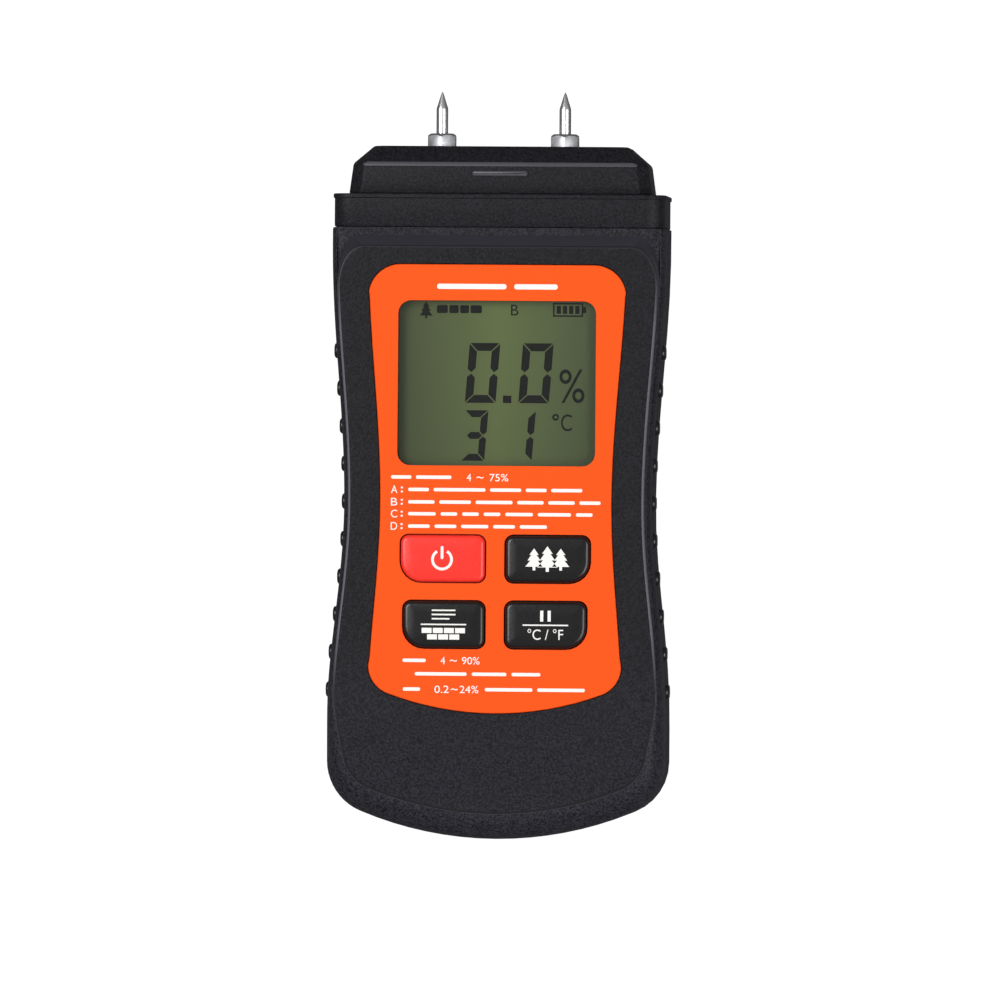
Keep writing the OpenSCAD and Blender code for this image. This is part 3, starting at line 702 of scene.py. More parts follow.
def edge_line(name, dark, light, low, high):
    """Polished ABS on a small radius, with a painted highlight: its colour is a thin grey line, which fades
    out between the two stations as the edge flattens towards the foot, and again round the upper corners."""
    tree, point = blank(name)
    lit = times(tree, up_case(tree, point, low, high, (0, 1)), up_case(tree, point, 103, 114, (1, 0.12)))
    tint = add_node(tree, "ShaderNodeMix", {6: linear(dark), 7: linear(light)}, {0: lit}, data_type="RGBA")
    show(tree, tint.outputs[2], relief(tree, noise(tree, point, 500), 0.003),
         {"Roughness": 0.45, "Specular IOR Level": 0.25})


def clear_plate(name, rough):
    """Clear acrylic, seen straight through, with the room's reflection on top at a low angle."""
    tree, point = blank(name)
    dull = mapped(tree, noise(tree, point, 60, Detail=1.0), (0, 1), (rough, rough * 1.6))
    through = add_node(tree, "ShaderNodeBsdfTransparent", {"Color": (0.97, 0.98, 0.97, 1)})
    sheen = add_node(tree, "ShaderNodeBsdfGlossy", links={"Roughness": dull})
    edge = add_node(tree, "ShaderNodeFresnel", {"IOR": 1.49})
    mix = add_node(tree, "ShaderNodeMixShader", links={0: edge.outputs["Fac"], 1: through.outputs["BSDF"],
                                                       2: sheen.outputs["BSDF"]})
    add_node(tree, "ShaderNodeOutputMaterial", links={"Surface": mix.outputs["Shader"]})


def lcd_film(name, left, middle, right, low, high):
    """A reflective twisted-nematic display: grey-green, with painted shade that makes it darker to its side
    edges and towards the foot.
    """
    tree, point = blank(name)
    across = mapped(tree, axis(tree, point, "X"), (-21 * MM, 21 * MM), (0, 1))
    ramp = add_node(tree, "ShaderNodeValToRGB", links={"Fac": across})
    ramp.color_ramp.elements[0].color = linear(left)
    ramp.color_ramp.elements[1].color = linear(right)
    ramp.color_ramp.elements.new(0.5).color = linear(middle)
    film = shaded(tree, up_case(tree, point, 75, 110, (low, high)), source=ramp.outputs["Color"])
    show(tree, film, relief(tree, noise(tree, point, 4000), 0.002),
         {"Roughness": 0.6, "Specular IOR Level": 0.15})


def label_film(name, colour, top_gain, low_gain):
    """Satin polycarbonate, printed from behind: one flat strong orange, a hair lighter at the top as painted
    light.
    """
    tree, point = blank(name)
    tint = shaded(tree, up_case(tree, point, 26, 116, (low_gain, top_gain)), colour)
    show(tree, tint, relief(tree, noise(tree, point, 3500, Detail=1.0), 0.003),
         {"Roughness": 0.5, "IOR": 1.58, "Specular IOR Level": 0.12})


def floor_paper(name, colour, returned):
    """A lit paper sweep: evenly white, and it throws little light back at the meter."""
    tree, _ = blank(name)
    shader = add_node(tree, "ShaderNodeBsdfPrincipled", {
        "Base Color": linear(returned), "Roughness": 0.9, "Specular IOR Level": 0.0,
        "Emission Color": linear(colour), "Emission Strength": 1.0})
    add_node(tree, "ShaderNodeOutputMaterial", links={"Surface": shader.outputs["BSDF"]})


def make_materials(case, front):
    """Every finish on the meter, each from what the real one is made of."""
    # ABS from an etched mould. Fine pits make the black soft and slightly speckled.
    # Real pits are 0.1 mm, drawn at 0.4 mm to show.
    # Its foot end is drawn lighter: painted light.
    grained_abs("case_abs_etched", case.case_colour, painted_foot_light=1.9)
    # The same ABS where the mould was polished, its colour drawn lighter as a painted sheen. The thin bright
    # lines along the edges are a painted highlight.
    moulded("case_abs_polished_painted_sheen", case.band_painted_sheen_colour, 0.4, grain=1.2, depth=0.003)
    edge_line("case_edge_painted_highlight", case.case_colour, case.painted_edge_highlight_colour, 30, 42)
    # The outer wall: etched beside the grip, polished round the foot. Its colour is drawn lighter than the
    # case as a painted sheen, with painted light at its foot end.
    grained_abs("case_wall_abs", case.wall_painted_sheen_colour, etched_from=(4, 30), painted_foot_light=1.35)
    # The back has the same etch and no painted light at its foot end.
    grained_abs("back_abs_etched", case.case_colour)
    # Head of the same etched black ABS, a little finer, so its bevels read clearly.
    grained_abs("head_abs_etched", case.head_colour, grain=0.4, depth=0.05)
    # The head's edge above its bevel and its snap ridge are polished; their grey colour is a painted
    # highlight.
    moulded("head_edge_painted_highlight", "#46464c", 0.35, grain=0.9, depth=0.003)
    # Glossy black beads, so that each one shows a small highlight on top.
    moulded("grip_bead_abs", case.edge_colour, 0.22, grain=0.9, depth=0.002)
    # Orange overlay and its white print.
    label_film("overlay_polycarbonate", front.label_colour, 1.0, 0.97)
    moulded("white_screen_ink", front.print_colour, 0.55, grain=0.3, depth=0.002, tone=0.02, specular=0.2)
    clear_plate("window_acrylic_clear", 0.03)
    # Painted shade: the film is drawn darker to its sides and towards the foot.
    lcd_film("display_tn_film", front.display_left, front.display_middle, front.display_right,
             0.71, 0.84)
    # Switched-on segments are dark with a little of the film's green in them.
    moulded("display_segment_dark", front.segment_colour, 0.6, grain=0.4, depth=0.001, tone=0.03,
            specular=0.1)
    # Key caps in glossy ABS: a clear soft highlight over each rounded edge.
    moulded("key_abs_red", front.power_colour, 0.26, grain=0.9, depth=0.002, tone=0.02, scatter=0.05)
    moulded("key_abs_black", front.key_colour, 0.24, grain=0.9, depth=0.003)
    # Nickel-plated steel, ground to a point: bright, with dark streaks along it.
    moulded("pin_nickel_ground", "#ebebee", 0.3, grain=0.07, depth=0.001, tone=0.55, metal=1.0,
            stretch=(1, 0.08, 1))
    moulded("nut_nickel_turned", "#d2d3d6", 0.36, grain=0.12, depth=0.002, tone=0.3, metal=1.0)
    # Turned brass, drawn strip and rolled spring steel keep faint lines along the way they were worked.
    moulded("socket_brass_turned", "#c9a255", 0.28, grain=0.3, depth=0.002, metal=1.0, stretch=(1, 0.2, 1))
    moulded("contact_steel_rolled", "#b9bbc0", 0.32, grain=0.3, depth=0.002, metal=1.0, stretch=(0.2, 1, 1))
    moulded("screw_steel_zinc", "#a9adb3", 0.38, grain=0.4, depth=0.004, metal=1.0)
    # Matt silicone scatters light, so the mat looks soft and a little dusty.
    moulded("mat_silicone_grey", "#b3b4b0", 0.7, grain=0.5, depth=0.006, scatter=0.15)
    moulded("pill_carbon_rubber", "#191919", 0.65, grain=0.3, depth=0.01)
    moulded("zebra_rubber_pink", "#cf8b98", 0.6, grain=0.25, depth=0.01, stretch=(1, 0.1, 0.1))
    moulded("frame_styrene_white", "#e6e6e0", 0.45, grain=0.9, depth=0.004, tone=0.02)
    moulded("backlight_acrylic_milky", "#e3e8d6", 0.35, grain=1.5, depth=0.003, tone=0.02, scatter=0.3)
    # Solder mask over woven glass: green, with a faint weave pitch of about 0.4 mm.
    moulded("board_solder_mask", "#1c6339", 0.3, grain=0.4, depth=0.004, tone=0.1)
    moulded("chip_epoxy_black", "#1b1b1d", 0.5, grain=0.3, depth=0.008)
    moulded("component_ceramic_tan", "#8c7a60", 0.45, grain=0.4, depth=0.006, tone=0.2)
    moulded("cell_sleeve_film", "#3d4d60", 0.3, grain=0.8, depth=0.002, tone=0.04)
    floor_paper("floor_paper", "#f4f4f4", "#828282")


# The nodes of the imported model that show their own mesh, by finish
FINISH_NODES = {
    "window_acrylic_clear": ("display_window",),
    "display_tn_film": ("display_glass",),
    "frame_styrene_white": ("display_frame",),
    "backlight_acrylic_milky": ("backlight_panel",),
    "zebra_rubber_pink": ("upper_zebra_strip", "lower_zebra_strip"),
    "board_solder_mask": ("main_board",),
    "mat_silicone_grey": ("keypad_mat", "power_dome", "wood_dome", "wall_dome", "hold_dome"),
    "pill_carbon_rubber": ("power_pill", "wood_pill", "wall_pill", "hold_pill"),
    "socket_brass_turned": ("left_socket", "right_socket", "left_lead_strap", "right_lead_strap"),
    "cell_sleeve_film": ("battery_cell_1", "battery_cell_2", "battery_cell_3"),
    "contact_steel_rolled": ("battery_springs", "spring_plates", "button_plates"),
    "screw_steel_zinc": ("case_screws", "board_screws"),
    "chip_epoxy_black": ("buzzer", "microcontroller", "temperature_sensor"),
    "component_ceramic_tan": ("board_components",),
}


# ---------------------------------------------------------------- settings

def colour_property(name, text, default):
    return bpy.props.StringProperty(name=name, description=text, default=default, maxlen=7)


class MeterCaseSettings(bpy.types.PropertyGroup):
    case_colour: colour_property("Case", "Colour of the etched black case, as sRGB hex", "#131318")
    edge_colour: colour_property("Edges", "Colour of the polished edges and beads, as sRGB hex", "#131316")
    # Painted sheen: the outer wall is drawn lighter than the case.
    wall_painted_sheen_colour: colour_property("Wall", "Colour of the case's outer wall, as sRGB hex", "#1f1f25")
    # Painted sheen: the polished band is drawn lighter than the case.
    band_painted_sheen_colour: colour_property("Band", "Colour of the polished band, as sRGB hex", "#2f2e35")
    # Painted highlight along the front's small radius.
    painted_edge_highlight_colour: colour_property("Edge line", "Colour that the front's small radius shows, as sRGB hex",
                                 "#5c5c64")
    head_colour: colour_property("Head", "Colour of the sensor head, as sRGB hex", "#17171c")
    edge_radius: bpy.props.FloatProperty(
        name="Head edge radius", description="Rounding of the sensor head's edges",
        default=0.45 * MM, min=0.1 * MM, max=0.7 * MM, precision=5, subtype="DISTANCE", unit="LENGTH")
    bead_rise: bpy.props.FloatProperty(
        name="Bead rise", description="How far a grip bead stands out",
        default=0.72 * MM, min=0.3 * MM, max=0.9 * MM, precision=5, subtype="DISTANCE", unit="LENGTH")


class MeterFrontSettings(bpy.types.PropertyGroup):
    label_colour: colour_property("Label", "Colour of the overlay, as sRGB hex", "#fb560e")
    print_colour: colour_property("Print", "Colour of the print and key signs, as sRGB hex", "#f4f2ee")
    power_colour: colour_property("Power key", "Colour of the power key, as sRGB hex", "#fa3429")
    key_colour: colour_property("Keys", "Colour of the other keys, as sRGB hex", "#0f0f11")
    segment_colour: colour_property("Segments", "Colour of switched-on segments, as sRGB hex", "#0a0c08")
    # The display's edge colours carry painted shade, darker than its middle.
    display_left: colour_property("Display left", "Film colour at its left edge, as sRGB hex", "#5d6544")
    display_middle: colour_property("Display middle", "Film colour in its middle, as sRGB hex", "#808e59")
    display_right: colour_property("Display right", "Film colour at its right edge, as sRGB hex", "#616c4a")
    key_crown: bpy.props.FloatProperty(
        name="Key edge", description="Rounding of the keys' upper edges",
        default=0.9 * MM, min=0.3 * MM, max=1.4 * MM, precision=5, subtype="DISTANCE", unit="LENGTH")


class MeterStageSettings(bpy.types.PropertyGroup):
    lens: bpy.props.FloatProperty(
        name="Lens", description="Focal length of the camera", default=500, min=50, max=600,
        subtype="DISTANCE_CAMERA", unit="CAMERA")
    distance: bpy.props.FloatProperty(
        name="Distance", description="From the camera to the front face", default=2.8208, min=0.3, max=4,
        subtype="DISTANCE", unit="LENGTH")
    yaw: bpy.props.FloatProperty(
        name="Yaw", description="How far the camera stands to the right", default=math.radians(3.7),
        subtype="ANGLE", unit="ROTATION")
    pitch: bpy.props.FloatProperty(
        name="Pitch", description="How far the camera stands towards the foot", default=0.0,
        subtype="ANGLE", unit="ROTATION")
    roll: bpy.props.FloatProperty(
        name="Roll", description="Turn of the camera about its own axis", default=math.radians(0.45),
        subtype="ANGLE", unit="ROTATION")
    key_power: bpy.props.FloatProperty(
        name="Key light", description="Power of the soft light at the upper left", default=12.5, min=0,
        unit="POWER")
    fill_power: bpy.props.FloatProperty(
        name="Fill light", description="Power of the soft light at the right", default=10, min=0,
        unit="POWER")
    room: bpy.props.FloatProperty(
        name="Room", description="Strength of the white room above the meter", default=0.3, min=0)
    horizon: bpy.props.FloatProperty(
        name="Horizon", description="Strength of the white room low round the meter", default=0.12, min=0)


# ---------------------------------------------------------------- pieces

class METER_OT_materials(bpy.types.Operator):
    """Makes every finish and puts it on the nodes that keep their own mesh"""
    bl_idname = "meter.materials"
    bl_label = "Finishes"

    def execute(self, context):
        scene = context.scene
        make_materials(scene.meter_case, scene.meter_front)
        for finish, nodes in FINISH_NODES.items():
            for node in nodes:
                dress(NODES[node], finish)
        return {"FINISHED"}


class METER_OT_front_shell(bpy.types.Operator):
    """Front half of the case: sides, raised front, recess for the label, window and key openings"""
    bl_idname = "meter.front_shell"
    bl_label = "Front Shell"

    def execute(self, context):
        wall_top = STRIP_Z - WALL_R + math.sqrt(WALL_R ** 2 - (WALL_R - SIDE_RUN) ** 2)
        wall_foot = PARTING_Z + 0.6

        def lower_step(s):
            """Where the outer wall meets the step of the raised front."""
            return wall_top + (face_z(s) - 0.02 - wall_top) * ease((44 - s) / 14)

        def neck(s):
            """The same, climbing to the flat strip under the collar near the top of the case."""
            return lower_step(s) + (STRIP_Z - lower_step(s)) * ease((s - 112) / 8)

        def lip_left(s):
            """How much of the step's rounded edge is left, which fades out round the foot."""
            return 0.04 + 0.96 * ease((s - 28) / 12)

        # Loops from the inside over the parting line, up the wall and in over the front to the label's
        # recess. Each goes with the finish of the band that leads to it.
        skin = [(case_loop(WALL + 0.4, WALL + 0.4, 1.2, SQUARE, UNDER_Z), POLISHED),
                (case_loop(WALL, WALL, 1.2, SQUARE, PARTING_Z), POLISHED),
                (case_loop(0.12, 0.12, 0, SQUARE, PARTING_Z), POLISHED),
                (case_loop(0, 0, 0, SQUARE, PARTING_Z + 0.15), OUTER)]
        for k in range(WALL_STEPS + 1):
            a = math.pi / 2 * k / WALL_STEPS
            lean = 1 - math.cos(a)
            skin.append((case_loop(SIDE_RUN * lean, FOOT_RUN * lean, 0, SQUARE,
                                   lambda s, a=a: wall_foot + (neck(s) - wall_foot) * math.sin(a)), OUTER))
        skin.append((case_loop(SIDE_RUN + 0.05, FOOT_RUN + 0.06, 1.6, (4.2, 9), neck), OUTER))
        for turn in (0, 25, 50, 72):
            a = math.radians(turn)
            inset = [edge - LIP_R * math.cos(a) for edge in STEP_IN]
            skin.append((case_loop(*inset, STEP_TURN, lambda s, a=a: face_z(s)
                                   - LIP_R * (1 - math.sin(a)) * lip_left(s)), LINE if turn else POLISHED))
        step_top = case_loop(*STEP_IN, STEP_TURN, face_z)
        skin.append((step_top, LINE))
        skin += [(between(step_top, label_loop(0.1, face_z), t), ETCHED) for t in (0.15, 0.4, 0.7)]
        skin += [(label_loop(0.22, face_z), ETCHED), (label_loop(0.1, lambda s: face_z(s) - 0.12), ETCHED),
                 (label_loop(0.1, LABEL_Z), ETCHED)]
        rings, finishes = zip(*skin)
        body = loft("front_shell_body", rings, finishes[1:] + (ETCHED,))
        dress(body, "case_abs_etched", "case_abs_polished_painted_sheen", "case_wall_abs", "case_edge_painted_highlight")
        cut_window(body, 0, UNDER_Z - 2, FACE_Z + 1)
        cut_window(body, 1.75, UNDER_Z - 2, 28)
        cut_keys(body, 0.25, UNDER_Z - 2)
        posts = []
        for x, s in POSTS:
            for side in (-1, 1):
                outer, bore = (loft("post", [post_loop(side * x, s, r, z) for z in heights])
                               for r, heights in ((POST_R, (POST_FOOT_Z, UNDER_Z + 0.5)),
                                                  (BORE_R, (POST_FOOT_Z - 1, POST_FOOT_Z + BORE_DEPTH))))
                posts.append(dress(carve(outer, bore), "case_abs_etched"))
        body = join("front_shell_body", [body] + posts)
        settle(body, "case", ("front_shell",), angle=32)
        return {"FINISHED"}


class METER_OT_back_shell(bpy.types.Operator):
    """Back half of the case and the sliding battery door"""
    bl_idname = "meter.back_shell"
    bl_label = "Back Shell"

    def execute(self, context):
        shell = merged_copy("back_shell", "back_shell_body")
        bpy.ops.object.mode_set(mode="EDIT")
        bpy.ops.mesh.select_all(action="DESELECT")
        shape = bmesh.from_edit_mesh(shell.data)
        for vert in shape.verts:
            s = vert.co.y / MM + MIDDLE
            beside = abs(vert.co.x) / MM - half_width(s)
            if beside > 0.12 and 16 < vert.co.z / MM < 21.6:
                vert.select_set(True)
        bmesh.update_edit_mesh(shell.data)
        bpy.ops.mesh.delete(type="VERT")
        bpy.ops.mesh.select_all(action="SELECT")
        bpy.ops.mesh.fill_holes(sides=0)
        bpy.ops.mesh.select_all(action="DESELECT")
        bpy.ops.mesh.select_non_manifold()
        bpy.ops.mesh.edge_face_add()
        close_skin()
        bpy.ops.object.mode_set(mode="OBJECT")
        settle(shell, "case", ("back_shell",), ("back_abs_etched",), 30)
        door = merged_copy("battery_door", "battery_door_body")
        settle(door, "battery_door", ("battery_door",), ("back_abs_etched",), 30)
        return {"FINISHED"}


class METER_OT_grip_beads(bpy.types.Operator):
    """Ten rounded grip beads on each side of the case"""
    bl_idname = "meter.grip_beads"
    bl_label = "Grip Beads"

    def execute(self, context):
        rise = context.scene.meter_case.bead_rise / MM
        low, high = BUMP_Z
        rings = []
        for out, inset in (*BUMP_PROFILE, (rise, 0.95)):
            r = BUMP_R - inset
            loop = rounded_loop(2 * r, high - low - 2 * inset, (r,) * 4, 0, 0, 0)
            rings.append([(out, MIDDLE + s, (low + high) / 2 + z) for s, z, _ in loop])
        first = loft("bead", rings)
        beads = []
        for side, turn in ((1, 0), (-1, math.pi)):
            for k in range(BUMPS):
                s = BUMP_FIRST + BUMP_PITCH * k
                bead = copy_of(first)
                bead.data.transform(Matrix.Rotation(turn, 4, "Z"))
                bead.data.transform(Matrix.Translation(place((side * (half_width(s) - 0.02), s, 0))))
                beads.append(bead)
        bpy.data.objects.remove(first)
        settle(join("grip_beads", beads), "case", (), ("grip_bead_abs",), 60)
        return {"FINISHED"}


class METER_OT_sensor_head(bpy.types.Operator):
    """Collar, lip, bevelled head block and snap ridge"""
    bl_idname = "meter.sensor_head"
    bl_label = "Sensor Head"

    def execute(self, context):
        radius = context.scene.meter_case.edge_radius / MM

        pieces = []
        for name, (half, z0, z1, r, stations) in SLEEVES.items():
            loops = []
            for s, inset in stations:
                flat = rounded_loop(2 * (half - inset), z1 - z0 - 2 * inset, (r - inset,) * 4, 0, 0, 0)
                loops.append([(x, s, (z0 + z1) / 2 + z) for x, z, _ in flat])
            pieces.append(loft(name, loops))
        loops = []
        for s, half, inset in ((130.3, 30.75, 0), (BLOCK_EDGE_AT, 29.9, 0), (HEAD_TOP, 25.8, 3.2)):
            z0, z1 = 3.2 + inset, 24.7 - inset
            edge = 2.5 - min(inset, 0.9)
            loops.append([(x, s, z) for x, z in (
                (half, z0 + edge), (half, z1 - edge), (half - edge, z1), (edge - half, z1),
                (-half, z1 - edge), (-half, z0 + edge), (edge - half, z0), (half - edge, z0))])
        block = soften(loft("block", loops), radius, angle=12, segments=4)
        # Faces along the bevel's upper edge, and the whole ridge, take the painted highlight.
        for face in block.data.polygons:
            near = abs(face.center.y / MM + MIDDLE - BLOCK_EDGE_AT) < 0.8
            if near and face.normal.z > 0.7 and 0.08 < face.normal.y < 0.62:
                face.material_index = 1
        ridge = loft("ridge", [rounded_loop(11.2 - 2 * i, 1.1 - 2 * i, (0.5 - i * 0.6,) * 4, 0, 134.6, z)
                               for z, i in ((24.3, 0), (25.05, 0), (25.22, 0.09), (25.3, 0.25))])
        for face in ridge.data.polygons:
            face.material_index = 1
        pieces += [block, ridge]
        for piece in pieces:
            dress(piece, "head_abs_etched", "head_edge_painted_highlight")
        settle(join("sensor_head_body", pieces), "case", ("sensor_head",), angle=38)
        return {"FINISHED"}


def print_mark(mark, x0, x1, s, cap, z0, z1):
    """One mark of the print: the two dots of a colon, a text, or bars that stand for words."""
    if mark == ":":
        return [bar(x0, x1, s + dot - 0.15, s + dot + 0.2, z0, z1) for dot in (-0.45, 0.35)]
    if isinstance(mark, str):
        half = MARK_HEIGHTS.get(mark, cap) / 2
        return [lettering(mark, x0, x1, s - half, s + half, z0, z1)]
    unit = (x1 - x0) / (sum(mark) + WORD_GAP * (len(mark) - 1))
    bars = []
    for length in mark:
        bars.append(bar(x0, x0 + unit * length, s - cap * 0.23, s + cap * 0.23, z0, z1, cap * 0.2))
        x0 += unit * (length + WORD_GAP)
    return bars


class METER_OT_label(bpy.types.Operator):
    """Orange overlay with its openings, and the white print on it"""
    bl_idname = "meter.label"
    bl_label = "Label"

    def execute(self, context):
        rings = [label_loop(grow, z) for grow, z in (
            (0, LABEL_Z + 0.005), (0, FACE_Z - 0.2), (-0.05, FACE_Z - 0.08), (-0.17, FACE_Z))]
        plate = loft("label_plate", rings)
        cut_window(plate, 0.02, LABEL_Z - 1, FACE_Z + 1)
        cut_keys(plate, 0.28, LABEL_Z - 1)
        settle(plate, "case", ("label_overlay",), ("overlay_polycarbonate",), 30)

        parts = []
        for s, cap, marks in PRINT_ROWS:
            for mark in marks:
                parts += print_mark(*mark, s, cap, FACE_Z + 0.002, FACE_Z + 0.02)
        settle(join("label_print", parts), "case", finishes=("white_screen_ink",))
        return {"FINISHED"}


def digit(shown, x0, x1, s0, s1, t, lean, level):
    """A leaning seven-segment digit. shown holds the letters of its segments, t is their thickness."""
    mid, h, wide = (s0 + s1) / 2, t / 2, x1 - x0 - lean
    gap = 0.16
    pieces = {
        "a": [(gap, s1), (wide - gap, s1), (wide - t - gap, s1 - t), (t + gap, s1 - t)],
        "b": [(wide, s1 - gap), (wide, mid + h), (wide - h, mid + gap), (wide - t, mid + h + gap),
              (wide - t, s1 - t - gap)],
        "c": [(wide, s0 + gap), (wide - t, s0 + t + gap), (wide - t, mid - h - gap), (wide - h, mid - gap),
              (wide, mid - h)],
        "d": [(gap, s0), (t + gap, s0 + t), (wide - t - gap, s0 + t), (wide - gap, s0)],
        "e": [(0, s0 + gap), (0, mid - h), (h, mid - gap), (t, mid - h - gap), (t, s0 + t + gap)],
        "f": [(0, s1 - gap), (t, s1 - t - gap), (t, mid + h + gap), (h, mid + gap), (0, mid + h)],
        "g": [(h + gap, mid), (t + gap, mid + h), (wide - t - gap, mid + h), (wide - h - gap, mid),
              (wide - t - gap, mid - h), (t + gap, mid - h)],
    }
    return [flat_shape([(x0 + x + lean * (s - s0) / (s1 - s0), s) for x, s in pieces[key]], *level)
            for key in shown]


def tree_sign(x, s, size, level):
    """A small fir tree with its trunk."""
    right = [(x + size * a, s + size * b) for a, b in TREE]
    left = [(x - size * a, s + size * b) for a, b in reversed(TREE[1:])]
    return flat_shape(right + left, *level)


class METER_OT_display(bpy.types.Operator):
    """Segments and signs that are switched on in the display"""
    bl_idname = "meter.display"
    bl_label = "Display Segments"

    def execute(self, context):
        glass_top = 1000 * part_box("display_glass")[1].z
        level = (glass_top + 0.004, glass_top + 0.024)
        parts = []
        for row in DIGITS:
            parts += digit(*row, level)
        parts += [bar(*edges, *level) for edges in DISPLAY_BARS]
        parts += [bar(x0, x1, 106.3, 107.9, *level, 0.3) for x0, x1 in DISPLAY_WORDS]
        parts += [lettering(*mark, *level) for mark in DISPLAY_MARKS]
        parts.append(arc_band(11.8, 85.4, 0.3, 0.7, 0, 350, *level, steps=16))
        parts.append(tree_sign(-14.6, 106.9, 0.95, level))
        settle(join("display_segments", parts), "case", finishes=("display_segment_dark",))
        return {"FINISHED"}


def key_sign(name):
    """The parts of a key's sign."""
    x, s = key_centre(name)
    level = (KEY_TOP - 0.02, KEY_TOP + 0.012)
    round_r = 0.2 if name == "power" else 0
    parts = [bar(x + x0, x + x1, s + s0, s + s1, *level, round_r) for x0, x1, s0, s1 in SIGN_BARS[name]]
    if name == "power":
        parts.append(arc_band(x - 0.1, s - 0.2, 1.65, 2.2, 122, 418, *level))
    elif name == "wood":
        parts += [tree_sign(x + out, s + up, size, level)
                  for out, up, size in ((-2.7, 0, 1.25), (2.7, 0, 1.25), (0, 0.1, 1.45))]
    elif name == "hold":
        parts.append(lettering("°C / °F", x - 3.6, x + 3.6, s - 2.95, s - 0.75, *level))
    return parts


class METER_OT_keys(bpy.types.Operator):
    """Four rounded key caps with their flanges and signs"""
    bl_idname = "meter.keys"
    bl_label = "Keys"

    def execute(self, context):
        edge = context.scene.meter_front.key_crown / MM
        for name in KEYS:
            rings = [key_loop(name, 0.6, 26.1), key_loop(name, 0.6, 27.1), key_loop(name, 0, 27.1)]
            steps = 7
            for k in range(steps + 1):
                a = math.pi / 2 * k / steps
                rings.append(key_loop(name, -edge * (1 - math.cos(a)),
                                      KEY_TOP - 0.12 - edge * 0.85 * (1 - math.sin(a))))
            rings.append(key_loop(name, -edge - 0.9, KEY_TOP - 0.02))
            rings.append(key_loop(name, -edge - 1.6, KEY_TOP))
            cap = loft(name + "_key_cap", rings)
            colour = "red" if name == "power" else "black"
            settle(cap, name + "_key", (name + "_key",), ("key_abs_" + colour,), 50)
            sign = join(name + "_key_sign", key_sign(name))
            settle(sign, name + "_key", finishes=("white_screen_ink",))
        return {"FINISHED"}


class METER_OT_pins(bpy.types.Operator):
    """The two ground test pins and the nuts at their feet"""
    bl_idname = "meter.pins"
    bl_label = "Test Pins"

    def execute(self, context):
        for x, name in ((-PIN_X, "left"), (PIN_X, "right")):
            pin = loft(name + "_pin_body", [disc_loop(x, PIN_Z, r, s) for s, r in PIN_PROFILE])
            settle(pin, "case", (name + "_pin",), ("pin_nickel_ground",), 25)
        nuts = []
        for x in (-PIN_X, PIN_X):
            nut = loft("nut", [disc_loop(x, PIN_Z, NUT_FLATS / math.sqrt(3), s, 6)
                               for s in (HEAD_TOP, HEAD_TOP + NUT_H)])
            cone = loft("cone", [disc_loop(x, PIN_Z, r, s, 48) for s, r in (
                (HEAD_TOP - 0.5, 4), (HEAD_TOP + 1.75, 3.5), (HEAD_TOP + 2.35, 2.85),
                (HEAD_TOP + NUT_H, 2.3))])
            carve(nut, cone, "INTERSECT")
            carve(nut, loft("bore", [disc_loop(x, PIN_Z, 1.55, s) for s in (HEAD_TOP - 1, HEAD_TOP + 4)]))
            soften(nut, 0.08, angle=40, segments=2)
            nuts.append(nut)
        settle(join("pin_nut_pair", nuts), "case", ("pin_nuts",), ("nut_nickel_turned",), 20)
        return {"FINISHED"}


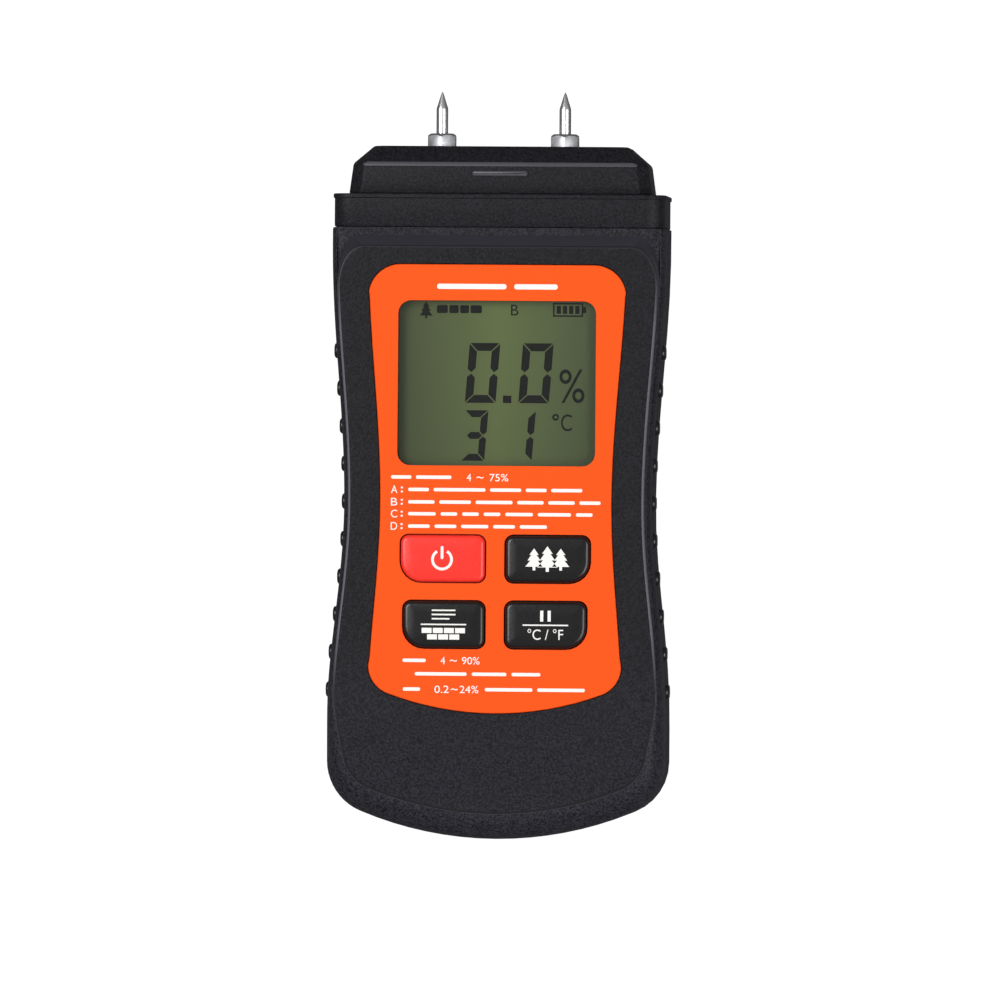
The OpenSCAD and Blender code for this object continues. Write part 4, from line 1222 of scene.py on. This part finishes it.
class METER_OT_stage(bpy.types.Operator):
    """White paper floor, two soft lights, a white room and the camera"""
    bl_idname = "meter.stage"
    bl_label = "Stage"

    def execute(self, context):
        stage = context.scene.meter_stage
        deselect()
        bpy.ops.mesh.primitive_plane_add(size=6, location=(0, 0, 0))
        floor = named("floor")
        dress(floor, "floor_paper")
        floor.visible_glossy = False  # the meter's edges mirror a dim room, not the bright paper
        world = bpy.data.worlds.new("white_room")
        world.use_nodes = True
        tree = world.node_tree
        background = tree.nodes["Background"]
        background.inputs["Color"].default_value = (1, 1, 1, 1)
        sky = add_node(tree, "ShaderNodeTexCoord").outputs["Generated"]
        climb = mapped(tree, axis(tree, sky, "Z"), (0.05, 0.7), (stage.horizon, stage.room))
        tree.links.new(climb, background.inputs["Strength"])
        context.scene.world = world
        for name, power, size, at in (("key_light", stage.key_power, 0.8, (-0.7, 0.3, 1.2)),
                                      ("fill_light", stage.fill_power, 0.9, (0.85, -0.25, 1.05))):
            lamp = bpy.data.lights.new(name, "AREA")
            lamp.energy = power
            lamp.size = size
            light = bpy.data.objects.new(name, lamp)
            context.scene.collection.objects.link(light)
            light.location = at
            light.rotation_euler = (Vector((0, 0, 0.015)) - Vector(at)).to_track_quat("-Z", "Y").to_euler()
        camera_data = bpy.data.cameras.new("camera")
        camera_data.type = "PERSP"
        camera_data.lens = stage.lens
        camera_data.sensor_width = 36
        camera_data.clip_end = 20
        camera = bpy.data.objects.new("camera", camera_data)
        context.scene.collection.objects.link(camera)
        turn = (Matrix.Rotation(stage.pitch, 4, "X") @ Matrix.Rotation(stage.yaw, 4, "Y")
                @ Matrix.Rotation(stage.roll, 4, "Z"))
        target = Vector((0, -7.2 * MM, 15 * MM))
        camera.matrix_world = Matrix.Translation(target) @ turn @ Matrix.Translation((0, 0, stage.distance))
        context.scene.camera = camera
        context.scene.view_settings.view_transform = "Standard"
        return {"FINISHED"}


PIECES = ("materials", "front_shell", "back_shell", "grip_beads", "sensor_head", "label", "display", "keys",
          "pins", "stage")


class METER_PT_panel(bpy.types.Panel):
    """Lists the meter's settings and pieces"""
    bl_label = "Moisture Meter"
    bl_idname = "METER_PT_panel"
    bl_space_type = "VIEW_3D"
    bl_region_type = "UI"
    bl_category = "Moisture Meter"

    def draw(self, context):
        for group in (context.scene.meter_case, context.scene.meter_front, context.scene.meter_stage):
            for key in group.bl_rna.properties.keys():
                if key not in ("rna_type", "name"):
                    self.layout.prop(group, key)
        for piece in PIECES:
            self.layout.operator("meter." + piece)


GROUPS = {
    "meter_case": MeterCaseSettings,
    "meter_front": MeterFrontSettings,
    "meter_stage": MeterStageSettings,
}
CLASSES = (*GROUPS.values(), METER_OT_materials, METER_OT_front_shell, METER_OT_back_shell,
           METER_OT_grip_beads, METER_OT_sensor_head, METER_OT_label, METER_OT_display, METER_OT_keys,
           METER_OT_pins, METER_OT_stage, METER_PT_panel)


def register():
    for cls in CLASSES:
        bpy.utils.register_class(cls)
    for name, group in GROUPS.items():
        setattr(bpy.types.Scene, name, bpy.props.PointerProperty(type=group))


def unregister():
    for name in GROUPS:
        delattr(bpy.types.Scene, name)
    for cls in reversed(CLASSES):
        bpy.utils.unregister_class(cls)


def main():
    register()
    for piece in PIECES:
        getattr(bpy.ops.meter, piece)()


if __name__ == "__main__":
    main()
